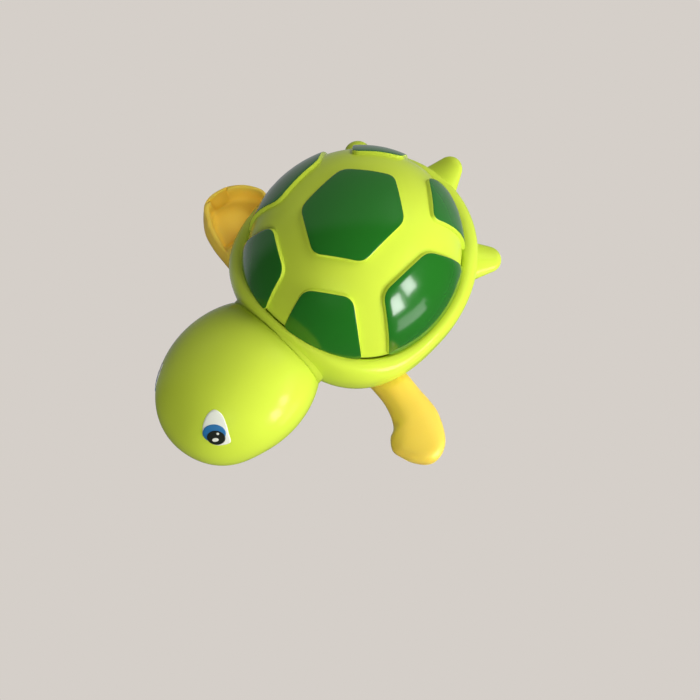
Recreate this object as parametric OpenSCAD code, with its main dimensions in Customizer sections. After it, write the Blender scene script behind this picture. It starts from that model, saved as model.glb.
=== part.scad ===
// Wind-up swimming bath toy in the shape of a turtle: a domed cover with raised scutes on a boat-shaped
// hull, a turned head, and two scooped front flippers on one cross shaft that a spring motor turns.
// Millimetres. The head points along -Y, the toy's left is +X and the belly rests on z = 0.

/* [Rim] */
// Half width of the hull at its widest
rim_half_width = 33.6; // [31:0.1:37]
// Length of the hull behind the middle
rim_rear = 38.2; // [36:0.1:42]
// Length of the hull in front of the middle
rim_front = 33.8; // [32:0.1:36]
// Height of the rounded lip at the sides and the rear
lip_height = 24.8; // [24:0.2:27]
// How far the lip climbs above that height over the neck
rim_climb = 11.4; // [10:0.2:13]
// Distance in front of the middle where the climb begins
climb_start = 5; // [3:0.5:8]
// Distance in front of the middle where the climb ends
climb_end = 31.2; // [29:0.2:33]
// How late the climb steepens, two for a parabola
climb_power = 2.5; // [2:0.1:3]
// Height of the rounded shoulder, from the side wall to the lip
shoulder_rise = 4.3; // [3.5:0.1:5]
// Distance from the hull's outside in to the crest of its lip
crest_inset = 1; // [0.8:0.1:1.5]
// Distance from the crest of the lip to its inner face
lip_half = 1.4; // [1:0.1:1.8]
// Squareness of the hull's outline in front, two for an ellipse
bow_power = 2.6; // [2:0.1:3]
// Thickness of the moulded walls
wall = 1.6; // [1.2:0.1:2]

/* [Belly] */
// Share of the depth at which the side wall would close to a point
belly_share = 0.92; // [0.85:0.01:0.96]
// Fullness of the side wall from shoulder to belly
belly_power = 2.6; // [2.2:0.1:3]

/* [Dome] */
// Distance from the hull's outside in to the dome at the sides
dome_side_inset = 4.2; // [3.8:0.1:5]
// Distance from the hull's outside in to the dome at the rear
dome_rear_inset = 7; // [6:0.1:8]
// Distance from the front of the hull back to the dome's widest line
dome_front_inset = 1; // [0.5:0.1:2]
// How far the lip's crest stands off the dome in front
front_crest = 0.9; // [0.7:0.1:1.5]
// Height of the dome above its widest line
dome_rise = 29.8; // [26:0.2:34]
// How far the dome's widest line is below the lip at the sides
dome_drop = 0.4; // [0:0.1:1]
// How far the scutes stand out from the dome
scute_rise = 0.9; // [0.5:0.1:1.4]
// Thickness of the paint on the scutes
paint_thick = 0.15; // [0.1:0.05:0.3]
// Size of the painted top as a share of its scute
paint_share = 0.95; // [0.9:0.01:0.98]

/* [Feet and tail] */
// How far the rear feet reach from the middle
foot_reach = 43.7; // [42:0.1:46]
// Direction of the rear feet, from straight left towards the rear
foot_turn = 48; // [40:1:55]
// Height of the rear feet
foot_height = 16; // [13:0.2:17]
// Length of a rear foot from its root inside the hull to its rounded end
foot_length = 13; // [12:0.1:14]
// Half width of a rear foot at its root
foot_root = 8.4; // [7:0.1:9]
// Radius of a rear foot's rounded end
foot_tip_r = 2.6; // [2:0.1:3.4]
// How far the tail reaches behind the middle
tail_reach = 45.3; // [44:0.1:48]
// Height of the tail's end
tail_height = 21.8; // [19:0.2:22.4]
// Length of the tail from its root inside the hull to its rounded end
tail_length = 9; // [8:0.1:10]
// Half width of the tail at its root
tail_root = 7.5; // [6:0.1:8]
// Radius of the tail's rounded end
tail_tip_r = 2.6; // [2:0.1:3]
// How far the tail's root is below its end
tail_dip = 4.3; // [4:0.1:6]
// Thickness of feet and tail as a share of their width
fin_share = 0.6; // [0.5:0.02:0.7]

/* [Head] */
// Distance from the middle to the face where head and hull meet
neck_face = 33.2; // [33:0.1:34]
// Height of the neck's middle line
neck_height = 19.3; // [19:0.1:21]
// Half width of the cranium
cranium_width = 21.6; // [20:0.1:23]
// Half length of the cranium
cranium_length = 24.5; // [23:0.1:26]
// Half height of the cranium
cranium_height = 18; // [16:0.1:18.4]
// Distance from the neck face forward to the cranium's middle
cranium_ahead = 14.2; // [12:0.1:16]
// Half width of the muzzle
muzzle_width = 15.6; // [13:0.1:17]
// Half length of the muzzle
muzzle_length = 12.8; // [11:0.1:14]
// Half height of the muzzle
muzzle_height = 11.6; // [10:0.1:12.5]
// Distance from the neck face forward to the muzzle's middle
muzzle_ahead = 25; // [23:0.1:27]
// How far the muzzle's middle is below the neck's
muzzle_drop = 4.8; // [3:0.1:6]
// How sharply muzzle and cranium meet
blend_power = 16; // [8:1:24]
// How far the head is turned about the neck
head_roll = 20; // [0:1:25]
// Radius of the neck tube inside the head
neck_r = 12.4; // [11:0.1:13]
// Length of the neck tube ahead of the neck face
neck_length = 5.4; // [4:0.1:7]

/* [Eyes] */
// Distance of an eye's middle to the side
eye_side = 11.75; // [10:0.05:13]
// Distance of an eye's middle ahead of the neck face
eye_ahead = 28.3; // [26:0.1:30]
// Height of an eye's middle above the neck's
eye_up = 7.4; // [6:0.1:9]
// Half width of the white of the eye
white_width = 4.1; // [3.5:0.1:4.8]
// Half height of the white of the eye
white_height = 5; // [4:0.1:5.6]
// Radius of the iris
iris_r = 3.1; // [2.5:0.1:3.4]
// Radius of the pupil
pupil_r = 2.2; // [1.5:0.1:2.4]
// Thickness of one printed layer
print_thick = 0.15; // [0.1:0.05:0.3]

/* [Flippers] */
// Distance of the cross shaft ahead of the middle
shaft_ahead = 16; // [15:0.1:17]
// Height of the cross shaft
shaft_height = 10; // [9.5:0.1:10.5]
// Diameter of the cross shaft
shaft_d = 3; // [2.4:0.1:3.4]
// Radius of the round pocket in the hull's side
pocket_r = 7.2; // [6.9:0.1:7.6]
// Depth of that pocket below the hull's side
pocket_depth = 1.6; // [1.4:0.1:2.4]
// Length of the arm from its root to the middle of the paddle
arm_length = 19.2; // [17:0.1:21]
// Half width of the arm at its root
arm_half_width = 5.1; // [4.6:0.1:5.3]
// How much the arm widens over its length
arm_widen = 1.9; // [0.5:0.1:2.5]
// How far the arm leans over its length
arm_lean = 5.2; // [4:0.1:6]
// Half width of the paddle
paddle_half_width = 8.5; // [7.5:0.1:9]
// Half length of the paddle along the shaft
paddle_half_length = 7.5; // [7:0.1:8.5]
// How far the paddle's middle is off the shaft's line
paddle_offset = 6.8; // [5.5:0.1:7.5]
// Half thickness of arm and paddle
flipper_half_thick = 5.6; // [5:0.1:5.8]
// Height of the paddle's open edge off the shaft's line
open_height = 3.4; // [2.8:0.1:4]
// Wall of the paddle
flipper_wall = 1.4; // [1.1:0.1:1.8]
// Roundness of the flipper's section, two for an ellipse
flipper_power = 2.4; // [2:0.1:3]

/* [Motor] */
// Module of the gear teeth
gear_module = 0.5; // [0.5:0.05:0.55]
// Width of the gears
gear_width = 2.6; // [2:0.1:2.8]
// Room between neighbouring turning pieces
run_gap = 0.4; // [0.3:0.05:0.5]
// Play between gear teeth at the pitch line
tooth_play = 0.14; // [0.1:0.02:0.2]
// Width of the mainspring
spring_width = 6; // [5:0.1:6.5]
// Thickness of the mainspring strip
spring_thick = 0.35; // [0.25:0.05:0.45]
// Turns of the mainspring
spring_turns = 6; // [5:0.5:7]
// Diameter of the spring arbor
arbor_d = 4.6; // [4:0.1:5]
// Diameter of the arbor's journals
journal_d = 2.4; // [2:0.1:2.8]
// Diameter of the idler pin
idler_pin_d = 1.5; // [1.2:0.1:1.8]
// Wall of the gearbox
case_wall = 1.5; // [1.2:0.1:1.8]

/* [Fasteners] */
// Diameter of the small screws' threads
screw_d = 2; // [1.8:0.1:2.2]
// Diameter of the small screws' heads
screw_head_d = 3.6; // [3.2:0.1:3.8]
// Height of the small screws' heads
screw_head_h = 1.4; // [1.2:0.1:1.6]
// Length of the small screws below their heads
screw_length = 7; // [6:0.5:8]
// Diameter of the belly screws' threads
belly_screw_d = 2.2; // [2:0.1:2.4]
// Diameter of the belly screws' heads
belly_head_d = 4.2; // [3.8:0.1:4.4]
// Length of the belly screws below their heads
belly_screw_length = 14; // [12:0.5:16]
// Depth of the wells that hold the belly screws
well_depth = 15; // [12:0.5:17]

/* [Hidden] */
$fn = 64;

lime = [0.72, 0.86, 0.16];
green = [0.10, 0.38, 0.10];
yellow = [0.93, 0.74, 0.20];
white = [0.92, 0.92, 0.84];
blue = [0.12, 0.42, 0.62];
black = [0.08, 0.10, 0.07];
steel = [0.62, 0.63, 0.65];
nylon = [0.90, 0.90, 0.86];
tan_case = [0.80, 0.78, 0.70];

// Clearances that fits are made with
slack = 0.03;
running = 0.05;
loose = 0.3;
past = 60;
eps = 0.01;

// Dome, worked out as a sphere that is stretched afterwards
dome_half_width = rim_half_width - dome_side_inset;
dome_front = rim_front - dome_front_inset;
dome_rear = rim_rear - dome_rear_inset;
dome_half_length = (dome_front + dome_rear) / 2;
dome_middle = (dome_rear - dome_front) / 2;
dome_base = lip_height - dome_drop;
stretch = [1, dome_half_length / dome_half_width, dome_rise / dome_half_width];

// Lip: its height depends on how far in front a place is, and its plan follows the dome in front
lip_gap = 0.35;
front_sine = 0.8;
function lip_z(y) = lip_height
    + rim_climb * pow(max(0, -y - climb_start) / (climb_end - climb_start), climb_power);
function dome_share(z) = sqrt(max(0, 1 - pow((z - dome_base) / dome_rise, 2)));
function front_share(t) = let (s = min(1, max(0, -sin(t)) / front_sine)) s * s * (3 - 2 * s);
function rear_share(t) = pow(max(0, sin(t)), 2);
function blended(side, rear, front, t) =
    (side + (rear - side) * rear_share(t)) * (1 - front_share(t)) + front * front_share(t);
function crest_off(t) = blended(dome_side_inset - crest_inset, dome_rear_inset - crest_inset, front_crest, t);
function face_off(t) = blended(dome_side_inset - crest_inset - lip_half,
    dome_rear_inset - crest_inset - lip_half, lip_gap, t);
// A place in plan, a distance outside the dome where the dome has a height
function off_dome(t, z, off) = let (share = dome_share(z))
    [(dome_half_width * share + off) * cos(t), dome_middle + (dome_half_length * share + off) * sin(t)];
// Height of the crest, found step by step because its plan depends on its height
crest_rounds = 6;
function settled(t, off, z, rounds) = rounds == 0 ? z
    : settled(t, off, (z + lip_z(off_dome(t, z, off)[1])) / 2, rounds - 1);
function crest_z(t) = settled(t, crest_off(t), lip_height + rim_climb * rear_share(-t), crest_rounds);

// Hull: side wall, rounded shoulder, lip, and the ledge inside that carries the cover
rim_steps = 48;
wall_steps = 6;
shoulder_steps = 4;
ledge_drop = 1.6;
ledge_under_dome = 2.1;
lip_round = 0.5;
shoulder_z = lip_height - shoulder_rise;
function spow(v, e) = sign(v) * pow(abs(v), e);
function rim_x(t) = rim_half_width * (sin(t) < 0 ? spow(cos(t), 2 / bow_power) : cos(t));
function rim_y(t) = sin(t) < 0 ? rim_front * spow(sin(t), 2 / bow_power) : rim_rear * sin(t);
function hull_share(u) = pow(1 - pow(belly_share * (1 - u), belly_power), 1 / belly_power);
function inset_plan(p, inset) = p * (1 - inset / norm(p));
function wall_point(t, u, inset, lift) =
    let (p = inset_plan([rim_x(t), rim_y(t)] * hull_share(u), inset)) [p[0], p[1], u * shoulder_z + lift];
function shoulder_point(t, a, inset) =
    let (top = crest_z(t), rim = [rim_x(t), rim_y(t)], crest = off_dome(t, top, crest_off(t)),
         p = inset_plan(rim + (crest - rim) * (1 - cos(a)), inset))
    [p[0], p[1], shoulder_z + (top - shoulder_z) * sin(a)];
function ledge_point(t, off, drop) =
    let (p = off_dome(t, crest_z(t) - ledge_drop, off)) [p[0], p[1], lip_z(p[1]) - drop];
function lip_point(t) =
    let (top = crest_z(t), p = off_dome(t, top - lip_round, face_off(t))) [p[0], p[1], top - lip_round];
function ledge_angle(t) = let (top = crest_z(t)) asin((top - ledge_drop - wall - shoulder_z) / (top - shoulder_z));
function hull_profile(t) = concat(
    [for (i = [0:wall_steps]) wall_point(t, i / wall_steps, 0, 0)],
    [for (i = [1:shoulder_steps]) shoulder_point(t, 90 * i / shoulder_steps, 0)],
    [lip_point(t),
     ledge_point(t, face_off(t), ledge_drop),
     ledge_point(t, -ledge_under_dome, ledge_drop),
     ledge_point(t, -ledge_under_dome, ledge_drop + wall),
     shoulder_point(t, ledge_angle(t), wall),
     shoulder_point(t, ledge_angle(t) / 2, wall)],
    [for (i = [wall_steps:-1:0]) wall_point(t, i / wall_steps, wall, wall * (1 - i / wall_steps))]);
// Half width of the hull's side wall at a height, ahead of the middle
function hull_side(ahead, z) =
    let (share = hull_share(z / shoulder_z), reach = ahead / (rim_front * share))
    (rim_half_width * share) * pow(1 - pow(reach, bow_power), 1 / bow_power);
lid_share = 0.5;

// A closed loft through rings of points, each ring with the same number of points
module loft(rings) {
    n = len(rings[0]);
    m = len(rings);
    points = [for (r = rings) for (p = r) p];
    sides = [for (i = [0:m - 2]) for (j = [0:n - 1])
        let (a = i * n + j, b = i * n + (j + 1) % n, c = a + n, d = b + n)
        each [[a, c, b], [b, c, d]]];
    first = [for (j = [0:n - 1]) j];
    last = [for (j = [n - 1:-1:0]) (m - 1) * n + j];
    polyhedron(points = points, faces = concat(sides, [first, last]));
}

function angles(n) = [for (j = [0:n - 1]) 360 * j / n];

module hull_shell() {
    profiles = [for (t = angles(rim_steps)) hull_profile(t)];
    loft([for (k = [0:len(profiles[0]) - 1]) [for (profile = profiles) profile[k]]]);
}

// The inside of the hull to the middle of its wall, which bosses and posts run into
module hull_core() {
    loft(concat(
        [for (i = [0:wall_steps]) [for (t = angles(rim_steps))
            wall_point(t, i / wall_steps, wall / 2, (1 - i / wall_steps) * wall / 2)]],
        [[for (t = angles(rim_steps)) [rim_x(t) * lid_share, rim_y(t) * lid_share, lip_height + rim_climb]]]));
}

// Edge of the cover, above the ledge
seat_gap = 0.4;
trim_steps = 14;
trim_reach = dome_front + 2 * wall;
function trim_z(y) = lip_z(y) - ledge_drop + seat_gap;

// Scutes as shares of the dome's half width and half length, left side only for the paired ones
crown_shares = [[0, -0.456], [0.359, -0.249], [0.359, 0.21], [0, 0.456], [-0.359, 0.21], [-0.359, -0.249]];
front_shares = [[0.14, -0.67], [0.456, -0.488], [1.173, -0.911], [1.173, -1.338], [0.129, -1.338]];
side_shares = [[0.627, -0.263], [1.173, -0.617], [1.267, -0.034], [1.173, 0.98], [0.872, 0.546], [0.751, 0.371], [0.644, 0.184]];
rear_shares = [[0.467, 0.437], [1.173, 1.24], [0.376, 1.269], [0.15, 0.715]];

function middle(shares) = [for (k = [0, 1]) [for (p = shares) p[k]] * [for (p = shares) 1] / len(shares)];
function shrunk(shares, share) = let (m = middle(shares)) [for (p = shares) m + (p - m) * share];

module scute(shares) {
    linear_extrude(height = past) polygon(shares * dome_half_width);
}

module scutes(share) {
    scute(shrunk(crown_shares, share));
    for (side = [0, 1]) mirror([side, 0, 0]) {
        scute(shrunk(front_shares, share));
        scute(shrunk(side_shares, share));
        scute(shrunk(rear_shares, share));
    }
}

// Everything below the edge of the cover, in the stretched sphere's own measure
module trim_block(raise) {
    ys = [for (i = [0:trim_steps]) -trim_reach + (trim_reach - climb_start) * i / trim_steps];
    edge = concat(
        [for (y = ys) [(y - dome_middle) / stretch[1], (trim_z(y) + raise - dome_base) / stretch[2]]],
        [[past, (trim_z(0) + raise - dome_base) / stretch[2]], [past, -past], [-past, -past]]);
    rotate([90, 0, 90]) translate([0, 0, -past]) linear_extrude(height = 2 * past) polygon(edge);
}

// Posts between cover and hull
post_side = 13.4;
post_front = -8;
post_rear = 10.5;
post_r = 3.6;
cover_post_r = 3;
post_join = lip_height - 0.8;
post_places = [for (x = [-post_side, post_side]) for (y = [post_front, post_rear]) [x, y]];
belly_pilot_depth = well_depth + belly_screw_length + 1 - post_join;

// How far the scutes end above the edge of the cover
scute_raise = 1.9;

// A ball for the dome, with a whole number of its steps in each quarter turn
dome_steps = 36;
module ball(r) {
    sphere(r, $fn = dome_steps);
}

module carapace_cover() {
    color(lime) difference() {
        translate([0, dome_middle, dome_base]) scale(stretch) union() {
            difference() {
                union() {
                    ball(dome_half_width);
                    difference() {
                        intersection() {
                            ball(dome_half_width + scute_rise);
                            scutes(1);
                        }
                        trim_block(scute_raise);
                    }
                }
                ball(dome_half_width - wall);
                trim_block(0);
            }
            for (p = post_places) intersection() {
                translate([p[0], (p[1] - dome_middle) / stretch[1], (post_join - dome_base) / stretch[2]])
                    cylinder(h = past, r = cover_post_r);
                ball(dome_half_width - wall / 2);
            }
        }
        for (p = post_places) translate([p[0], p[1], post_join - eps])
            cylinder(h = belly_pilot_depth, d = belly_screw_d + 2 * slack, $fn = 32);
    }
}

paint_raise = scute_raise + 0.3;
module scute_paint() {
    color(green) translate([0, dome_middle, dome_base]) scale(stretch) difference() {
        intersection() {
            ball(dome_half_width + scute_rise + paint_thick);
            scutes(paint_share);
        }
        ball(dome_half_width + scute_rise);
        trim_block(paint_raise);
    }
}

// Shaft line and the pockets its flippers turn in
shaft_y = -shaft_ahead;
shaft_z = shaft_height;
pocket_x = hull_side(shaft_ahead, shaft_height) - pocket_depth;
boss_r = pocket_r + wall;
boss_floor = 2.4;
root_x = pocket_x + run_gap;

module along_x(from, to, r, at, fn = 48) {
    translate([from, at[0], at[1]]) rotate([0, 90, 0]) cylinder(h = to - from, r = r, $fn = fn);
}

module shaft_boss() {
    intersection() {
        hull_core();
        along_x(pocket_x - boss_floor, past, boss_r, [shaft_y, shaft_z]);
    }
}

// Neck
collar_steps = 48;
collar_depth = 7;
neck_end = -neck_face - neck_length;
collar_share = sqrt(1 - pow(cranium_ahead / cranium_length, 2));
head_screw_side = 7;
head_screw_d = screw_d + 2 * slack;
function collar_ring(y, inset) = [for (t = angles(collar_steps))
    let (x = (cranium_width * collar_share - inset) * cos(t), z = (cranium_height * collar_share - inset) * sin(t))
    [x * cos(head_roll) - z * sin(head_roll), y, neck_height + x * sin(head_roll) + z * cos(head_roll)]];
collar_inset = 0.2;

module along_y(from, to, r, at, fn = 48) {
    translate([at[0], from, at[1]]) rotate([-90, 0, 0]) cylinder(h = to - from, r = r, $fn = fn);
}

// Everything above the middle of the ledge, where the cover's edge needs room
module above_ledge() {
    ys = [for (i = [0:trim_steps]) -trim_reach + (trim_reach - climb_start) * i / trim_steps];
    edge = concat([for (y = ys) [y, lip_z(y) - ledge_drop - wall / 2]], [[-climb_start, past], [-trim_reach, past]]);
    rotate([90, 0, 90]) translate([0, 0, -past]) linear_extrude(height = 2 * past) polygon(edge);
}

module collar() {
    difference() {
        loft([for (y = [collar_depth - neck_face, -neck_face - loose]) collar_ring(y, collar_inset)]);
        loft([for (y = [collar_depth - neck_face + eps, wall - neck_face]) collar_ring(y, collar_inset + wall)]);
        above_ledge();
    }
}

// A flattened cone with a rounded end, from one point to another
fin_steps = 5;
fin_spokes = 24;
fin_end_angle = 80;
module fin(from, to, root, tip_r) {
    d = to - from;
    along = d / norm(d);
    side = cross([0, 0, 1], along) / norm(cross([0, 0, 1], along));
    up = cross(along, side);
    lean = asin((root - tip_r) / norm(d));
    arc = [for (i = [0:fin_steps]) let (a = lean + (fin_end_angle - lean) * i / fin_steps)
        [tip_r * cos(a), norm(d) + tip_r * sin(a)]];
    loft([for (q = concat([[root, 0]], arc)) [for (t = angles(fin_spokes))
        from + along * q[1] + side * q[0] * cos(t) + up * q[0] * fin_share * sin(t)]]);
}

module rear_foot() {
    direction = [cos(foot_turn), sin(foot_turn), 0];
    up = [0, 0, foot_height];
    tip = foot_reach - foot_tip_r;
    fin(direction * (tip - foot_length) + up, direction * tip + up, foot_root, foot_tip_r);
}

module tail() {
    tip = tail_reach - tail_tip_r;
    fin([0, tip - tail_length, tail_height - tail_dip], [0, tip, tail_height], tail_root, tail_tip_r);
}

// Motor: three parallel axes, each given as [y, z]
shaft_teeth = 12;
idler_teeth = 30;
idler_pinion_teeth = 12;
spring_teeth = 36;
idler_rise = 18;
spring_rise = 5;
centre_play = 0.05;
shaft_axis = [shaft_y, shaft_z];
function turned(angle) = [cos(angle), sin(angle)];
idler_axis = shaft_axis + turned(idler_rise) * (gear_module * (shaft_teeth + idler_teeth) / 2 + centre_play);
spring_axis = idler_axis
    + turned(spring_rise) * (gear_module * (idler_pinion_teeth + spring_teeth) / 2 + centre_play);

spring_x = -spring_width - run_gap;
slow_gears_x = 0;
fast_gears_x = slow_gears_x + gear_width + run_gap;
case_in = spring_x - run_gap;
case_out = case_in - case_wall;
cover_in = fast_gears_x + gear_width + run_gap;
cover_out = cover_in + case_wall;
case_middle = (case_out + cover_out) / 2;
pinion_room = 3.4;
shaft_case_r = pinion_room + case_wall;
idler_case_r = gear_module * (idler_teeth / 2 + 1) + run_gap + case_wall;
spring_case_r = gear_module * (spring_teeth / 2 + 1) + run_gap + case_wall;
ear_r = 2.6;
ear_out = 1.4;
ear_turns = [112, 108, 40];
ear_places = [
    shaft_axis + turned(ear_turns[0]) * (shaft_case_r + ear_out),
    idler_axis + turned(ear_turns[1]) * (idler_case_r + ear_out),
    spring_axis + turned(ear_turns[2]) * (spring_case_r + ear_out)];
flange_height = 8.6;
flange_thick = 1.6;
flange_half_width = 4;
flange_out = 2.5;
flange_front = shaft_y - shaft_case_r - flange_out;
flange_rear = spring_axis[0] + spring_case_r + flange_out;
flange_margin = 2.2;
flange_places = [flange_front, flange_rear];
mount_boss_r = 2.2;
mount_screw_length = 4;

module lower_hull() {
    color(lime) difference() {
        union() {
            difference() {
                union() {
                    hull_shell();
                    for (side = [0, 1]) mirror([side, 0, 0]) shaft_boss();
                    collar();
                }
                translate([-past, -neck_face - past, -past]) cube([2 * past, past, 2 * past]);
            }
            for (side = [0, 1]) mirror([side, 0, 0]) rear_foot();
            tail();
            along_y(neck_end, -neck_face + wall / 2, neck_r, [0, neck_height]);
            intersection() {
                hull_core();
                union() {
                    for (p = post_places) translate([p[0], p[1], wall / 2])
                        cylinder(h = post_join - wall / 2, r = post_r);
                    for (y = flange_places) translate([case_middle, y, wall / 2])
                        cylinder(h = flange_height - wall / 2, r = mount_boss_r);
                }
            }
        }
        along_y(neck_end + wall, -neck_face + collar_depth, neck_r - wall, [0, neck_height]);
        for (x = [-head_screw_side, head_screw_side])
            along_y(neck_end - eps, neck_end + wall + eps, screw_d / 2 + slack, [x, neck_height], 32);
        for (side = [0, 1]) mirror([side, 0, 0]) {
            along_x(pocket_x, past, pocket_r, shaft_axis);
            along_x(pocket_x - 2 * boss_floor, pocket_x + eps, shaft_d / 2 + loose, shaft_axis);
        }
        for (p = post_places) translate([p[0], p[1], 0]) {
            translate([0, 0, -eps]) cylinder(h = well_depth + eps, d = belly_head_d + 2 * loose, $fn = 32);
            cylinder(h = post_join + eps, d = belly_screw_d + 2 * loose, $fn = 32);
        }
        for (y = flange_places) translate([case_middle, y, flange_height + flange_thick - mount_screw_length - loose])
            cylinder(h = mount_screw_length, d = screw_d + 2 * slack, $fn = 32);
    }
}

// Head: two ellipsoids, cranium and muzzle, blended along rays from a point inside both
ray_ahead = 19;
ray_drop = 2.2;
ray_start = [0, -neck_face - ray_ahead, neck_height - ray_drop];
cranium_middle = [0, -neck_face - cranium_ahead, neck_height];
muzzle_middle = [0, -neck_face - muzzle_ahead, neck_height - muzzle_drop];
cranium_radii = [cranium_width, cranium_length, cranium_height];
muzzle_radii = [muzzle_width, muzzle_length, muzzle_height];
function by_parts(a, b) = [for (k = [0:2]) a[k] / b[k]];
function ray_length(direction, middle, radii) =
    let (q = by_parts(direction, radii), e = by_parts(middle - ray_start, radii),
         a = q * q, b = q * e, c = e * e - 1)
    (b + sqrt(b * b - a * c)) / a;
function head_length(direction) = pow(
    pow(ray_length(direction, cranium_middle, cranium_radii), blend_power)
    + pow(ray_length(direction, muzzle_middle, muzzle_radii), blend_power), 1 / blend_power);
function unit(v) = v / norm(v);
function roll(p) = let (x = p[0], z = p[2] - neck_height)
    [x * cos(head_roll) - z * sin(head_roll), p[1], neck_height + x * sin(head_roll) + z * cos(head_roll)];
function head_point(direction, inset) = roll(ray_start + direction * (head_length(direction) - inset));
function polar(a, t) = [sin(a) * cos(t), -cos(a), sin(a) * sin(t)];
pole_angle = 4;

module head_solid(inset, rings, spokes) {
    loft([for (i = [rings:-1:0]) [for (t = angles(spokes))
        head_point(polar(pole_angle + (180 - 2 * pole_angle) * i / rings, t), inset)]]);
}

head_wall = 1.8;
head_post_r = 2.6;
head_front_room = 1;
module head_shell() {
    color(lime) difference() {
        union() {
            difference() {
                head_solid(0, 22, 36);
                head_solid(head_wall, 12, 20);
            }
            for (x = [-head_screw_side, head_screw_side]) intersection() {
                along_y(-past - past, neck_end - slack, head_post_r, [x, neck_height]);
                head_solid(head_wall / 2, 12, 20);
            }
        }
        translate([-past, -neck_face - slack, -past]) cube([2 * past, past, 2 * past]);
        for (x = [-head_screw_side, head_screw_side])
            along_y(neck_end + wall - screw_length - head_front_room, neck_end, screw_d / 2 + slack, [x, neck_height], 32);
    }
}

// A screw with its head's underside at the origin, pointing along +Z
module screw(d, head_d, head_h, length) {
    translate([0, 0, -head_h]) cylinder(h = head_h, d = head_d, $fn = 32);
    cylinder(h = length, d = d, $fn = 32);
}

module small_screw() {
    screw(screw_d, screw_head_d, screw_head_h, screw_length);
}

module head_screws() {
    color(steel) for (x = [-head_screw_side, head_screw_side])
        translate([x, neck_end + wall, neck_height]) rotate([90, 0, 0]) small_screw();
}

// A printed patch on the head about an eye, its edge given as a radius for each angle
eye_start = [eye_side, -neck_face - eye_ahead, neck_height + eye_up] - ray_start;
eye_ray = unit(eye_start);
eye_across = unit(cross([0, 0, 1], eye_ray));
eye_upward = cross(eye_ray, eye_across);
patch_spokes = 20;
patch_shares = [0.05, 0.5, 1];
function patch_direction(r, t) =
    unit(eye_ray * head_length(eye_ray) + (eye_across * cos(t) + eye_upward * sin(t)) * r);
function oval(w, h, t) = 1 / norm([cos(t) / w, sin(t) / h]);

module eye_patch(w, h, drop, floor_rise) {
    function spot(share, t) = let (r = oval(w, h, t) * share,
        p = [r * cos(t), r * sin(t) - drop]) patch_direction(norm(p), atan2(p[1], p[0]));
    top = floor_rise + print_thick;
    loft(concat(
        [for (s = [len(patch_shares) - 1:-1:0]) [for (t = angles(patch_spokes))
            head_point(spot(patch_shares[len(patch_shares) - 1 - s], t), -floor_rise)]],
        [for (s = [len(patch_shares) - 1:-1:0]) [for (t = angles(patch_spokes))
            head_point(spot(patch_shares[s], t), -top)]]));
}

module both_eyes(w, h, drop, floor_rise) {
    eye_patch(w, h, drop, floor_rise);
    translate([0, 0, neck_height]) rotate([0, -head_roll, 0]) mirror([1, 0, 0]) rotate([0, head_roll, 0])
        translate([0, 0, -neck_height]) eye_patch(w, h, drop, floor_rise);
}

iris_drop = 1.2;
pupil_drop = 1.7;
module eye_whites() {
    color(white) both_eyes(white_width, white_height, 0, slack);
}

module eye_irises() {
    color(blue) both_eyes(iris_r, iris_r, iris_drop, 2 * slack + print_thick);
}

module eye_pupils() {
    color(black) both_eyes(pupil_r, pupil_r, pupil_drop, 3 * slack + 2 * print_thick);
}

// Gear teeth: involute flanks on short teeth, given about the origin with a tooth at angle 0
pressure = 25;
addendum_share = 0.8;
dedendum_share = 1.05;
flank_steps = 4;
function involute(base, r) = let (a = acos(base / r)) tan(a) * 180 / PI - a;
function gear_outline(teeth) =
    let (pitch = gear_module * teeth / 2, base = pitch * cos(pressure),
         tip = pitch + addendum_share * gear_module, foot = pitch - dedendum_share * gear_module,
         start = max(base, foot),
         half = 90 / teeth - (tooth_play / 4) / pitch * 180 / PI + involute(base, pitch),
         radii = [for (i = [0:flank_steps]) start + (tip - start) * i / flank_steps])
    [for (k = [0:teeth - 1]) let (turn = 360 * k / teeth) each concat(
        [foot * turned(turn - half)],
        [for (r = radii) r * turned(turn - half + involute(base, r))],
        [for (i = [flank_steps:-1:0]) radii[i] * turned(turn + half - involute(base, radii[i]))],
        [foot * turned(turn + half)])];

module gear(teeth, from, width, at, turn) {
    translate([from, at[0], at[1]]) rotate([90, 0, 90]) rotate([0, 0, turn])
        linear_extrude(height = width) polygon(gear_outline(teeth));
}

module shaft_pinion() {
    color(nylon) difference() {
        gear(shaft_teeth, fast_gears_x, gear_width, shaft_axis, idler_rise);
        along_x(fast_gears_x - eps, fast_gears_x + gear_width + eps, shaft_d / 2 + slack, shaft_axis);
    }
}

module idler_gear() {
    color(nylon) difference() {
        union() {
            gear(idler_teeth, fast_gears_x, gear_width, idler_axis, idler_rise + 180 + 180 / idler_teeth);
            gear(idler_pinion_teeth, slow_gears_x, fast_gears_x - slow_gears_x + eps, idler_axis, spring_rise);
        }
        along_x(slow_gears_x - eps, cover_in, idler_pin_d / 2 + running, idler_axis);
    }
}

module spring_gear() {
    color(nylon) difference() {
        gear(spring_teeth, slow_gears_x, gear_width, spring_axis, spring_rise + 180 + 180 / spring_teeth);
        along_x(slow_gears_x - eps, slow_gears_x + gear_width + eps, arbor_d / 2 + slack, spring_axis);
    }
}

module idler_pin() {
    color(steel) along_x(case_out, cover_out, idler_pin_d / 2, idler_axis);
}

module spring_arbor() {
    color(steel) {
        along_x(spring_x, slow_gears_x + gear_width, arbor_d / 2, spring_axis);
        along_x(case_out, cover_out, journal_d / 2, spring_axis);
    }
}

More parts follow.
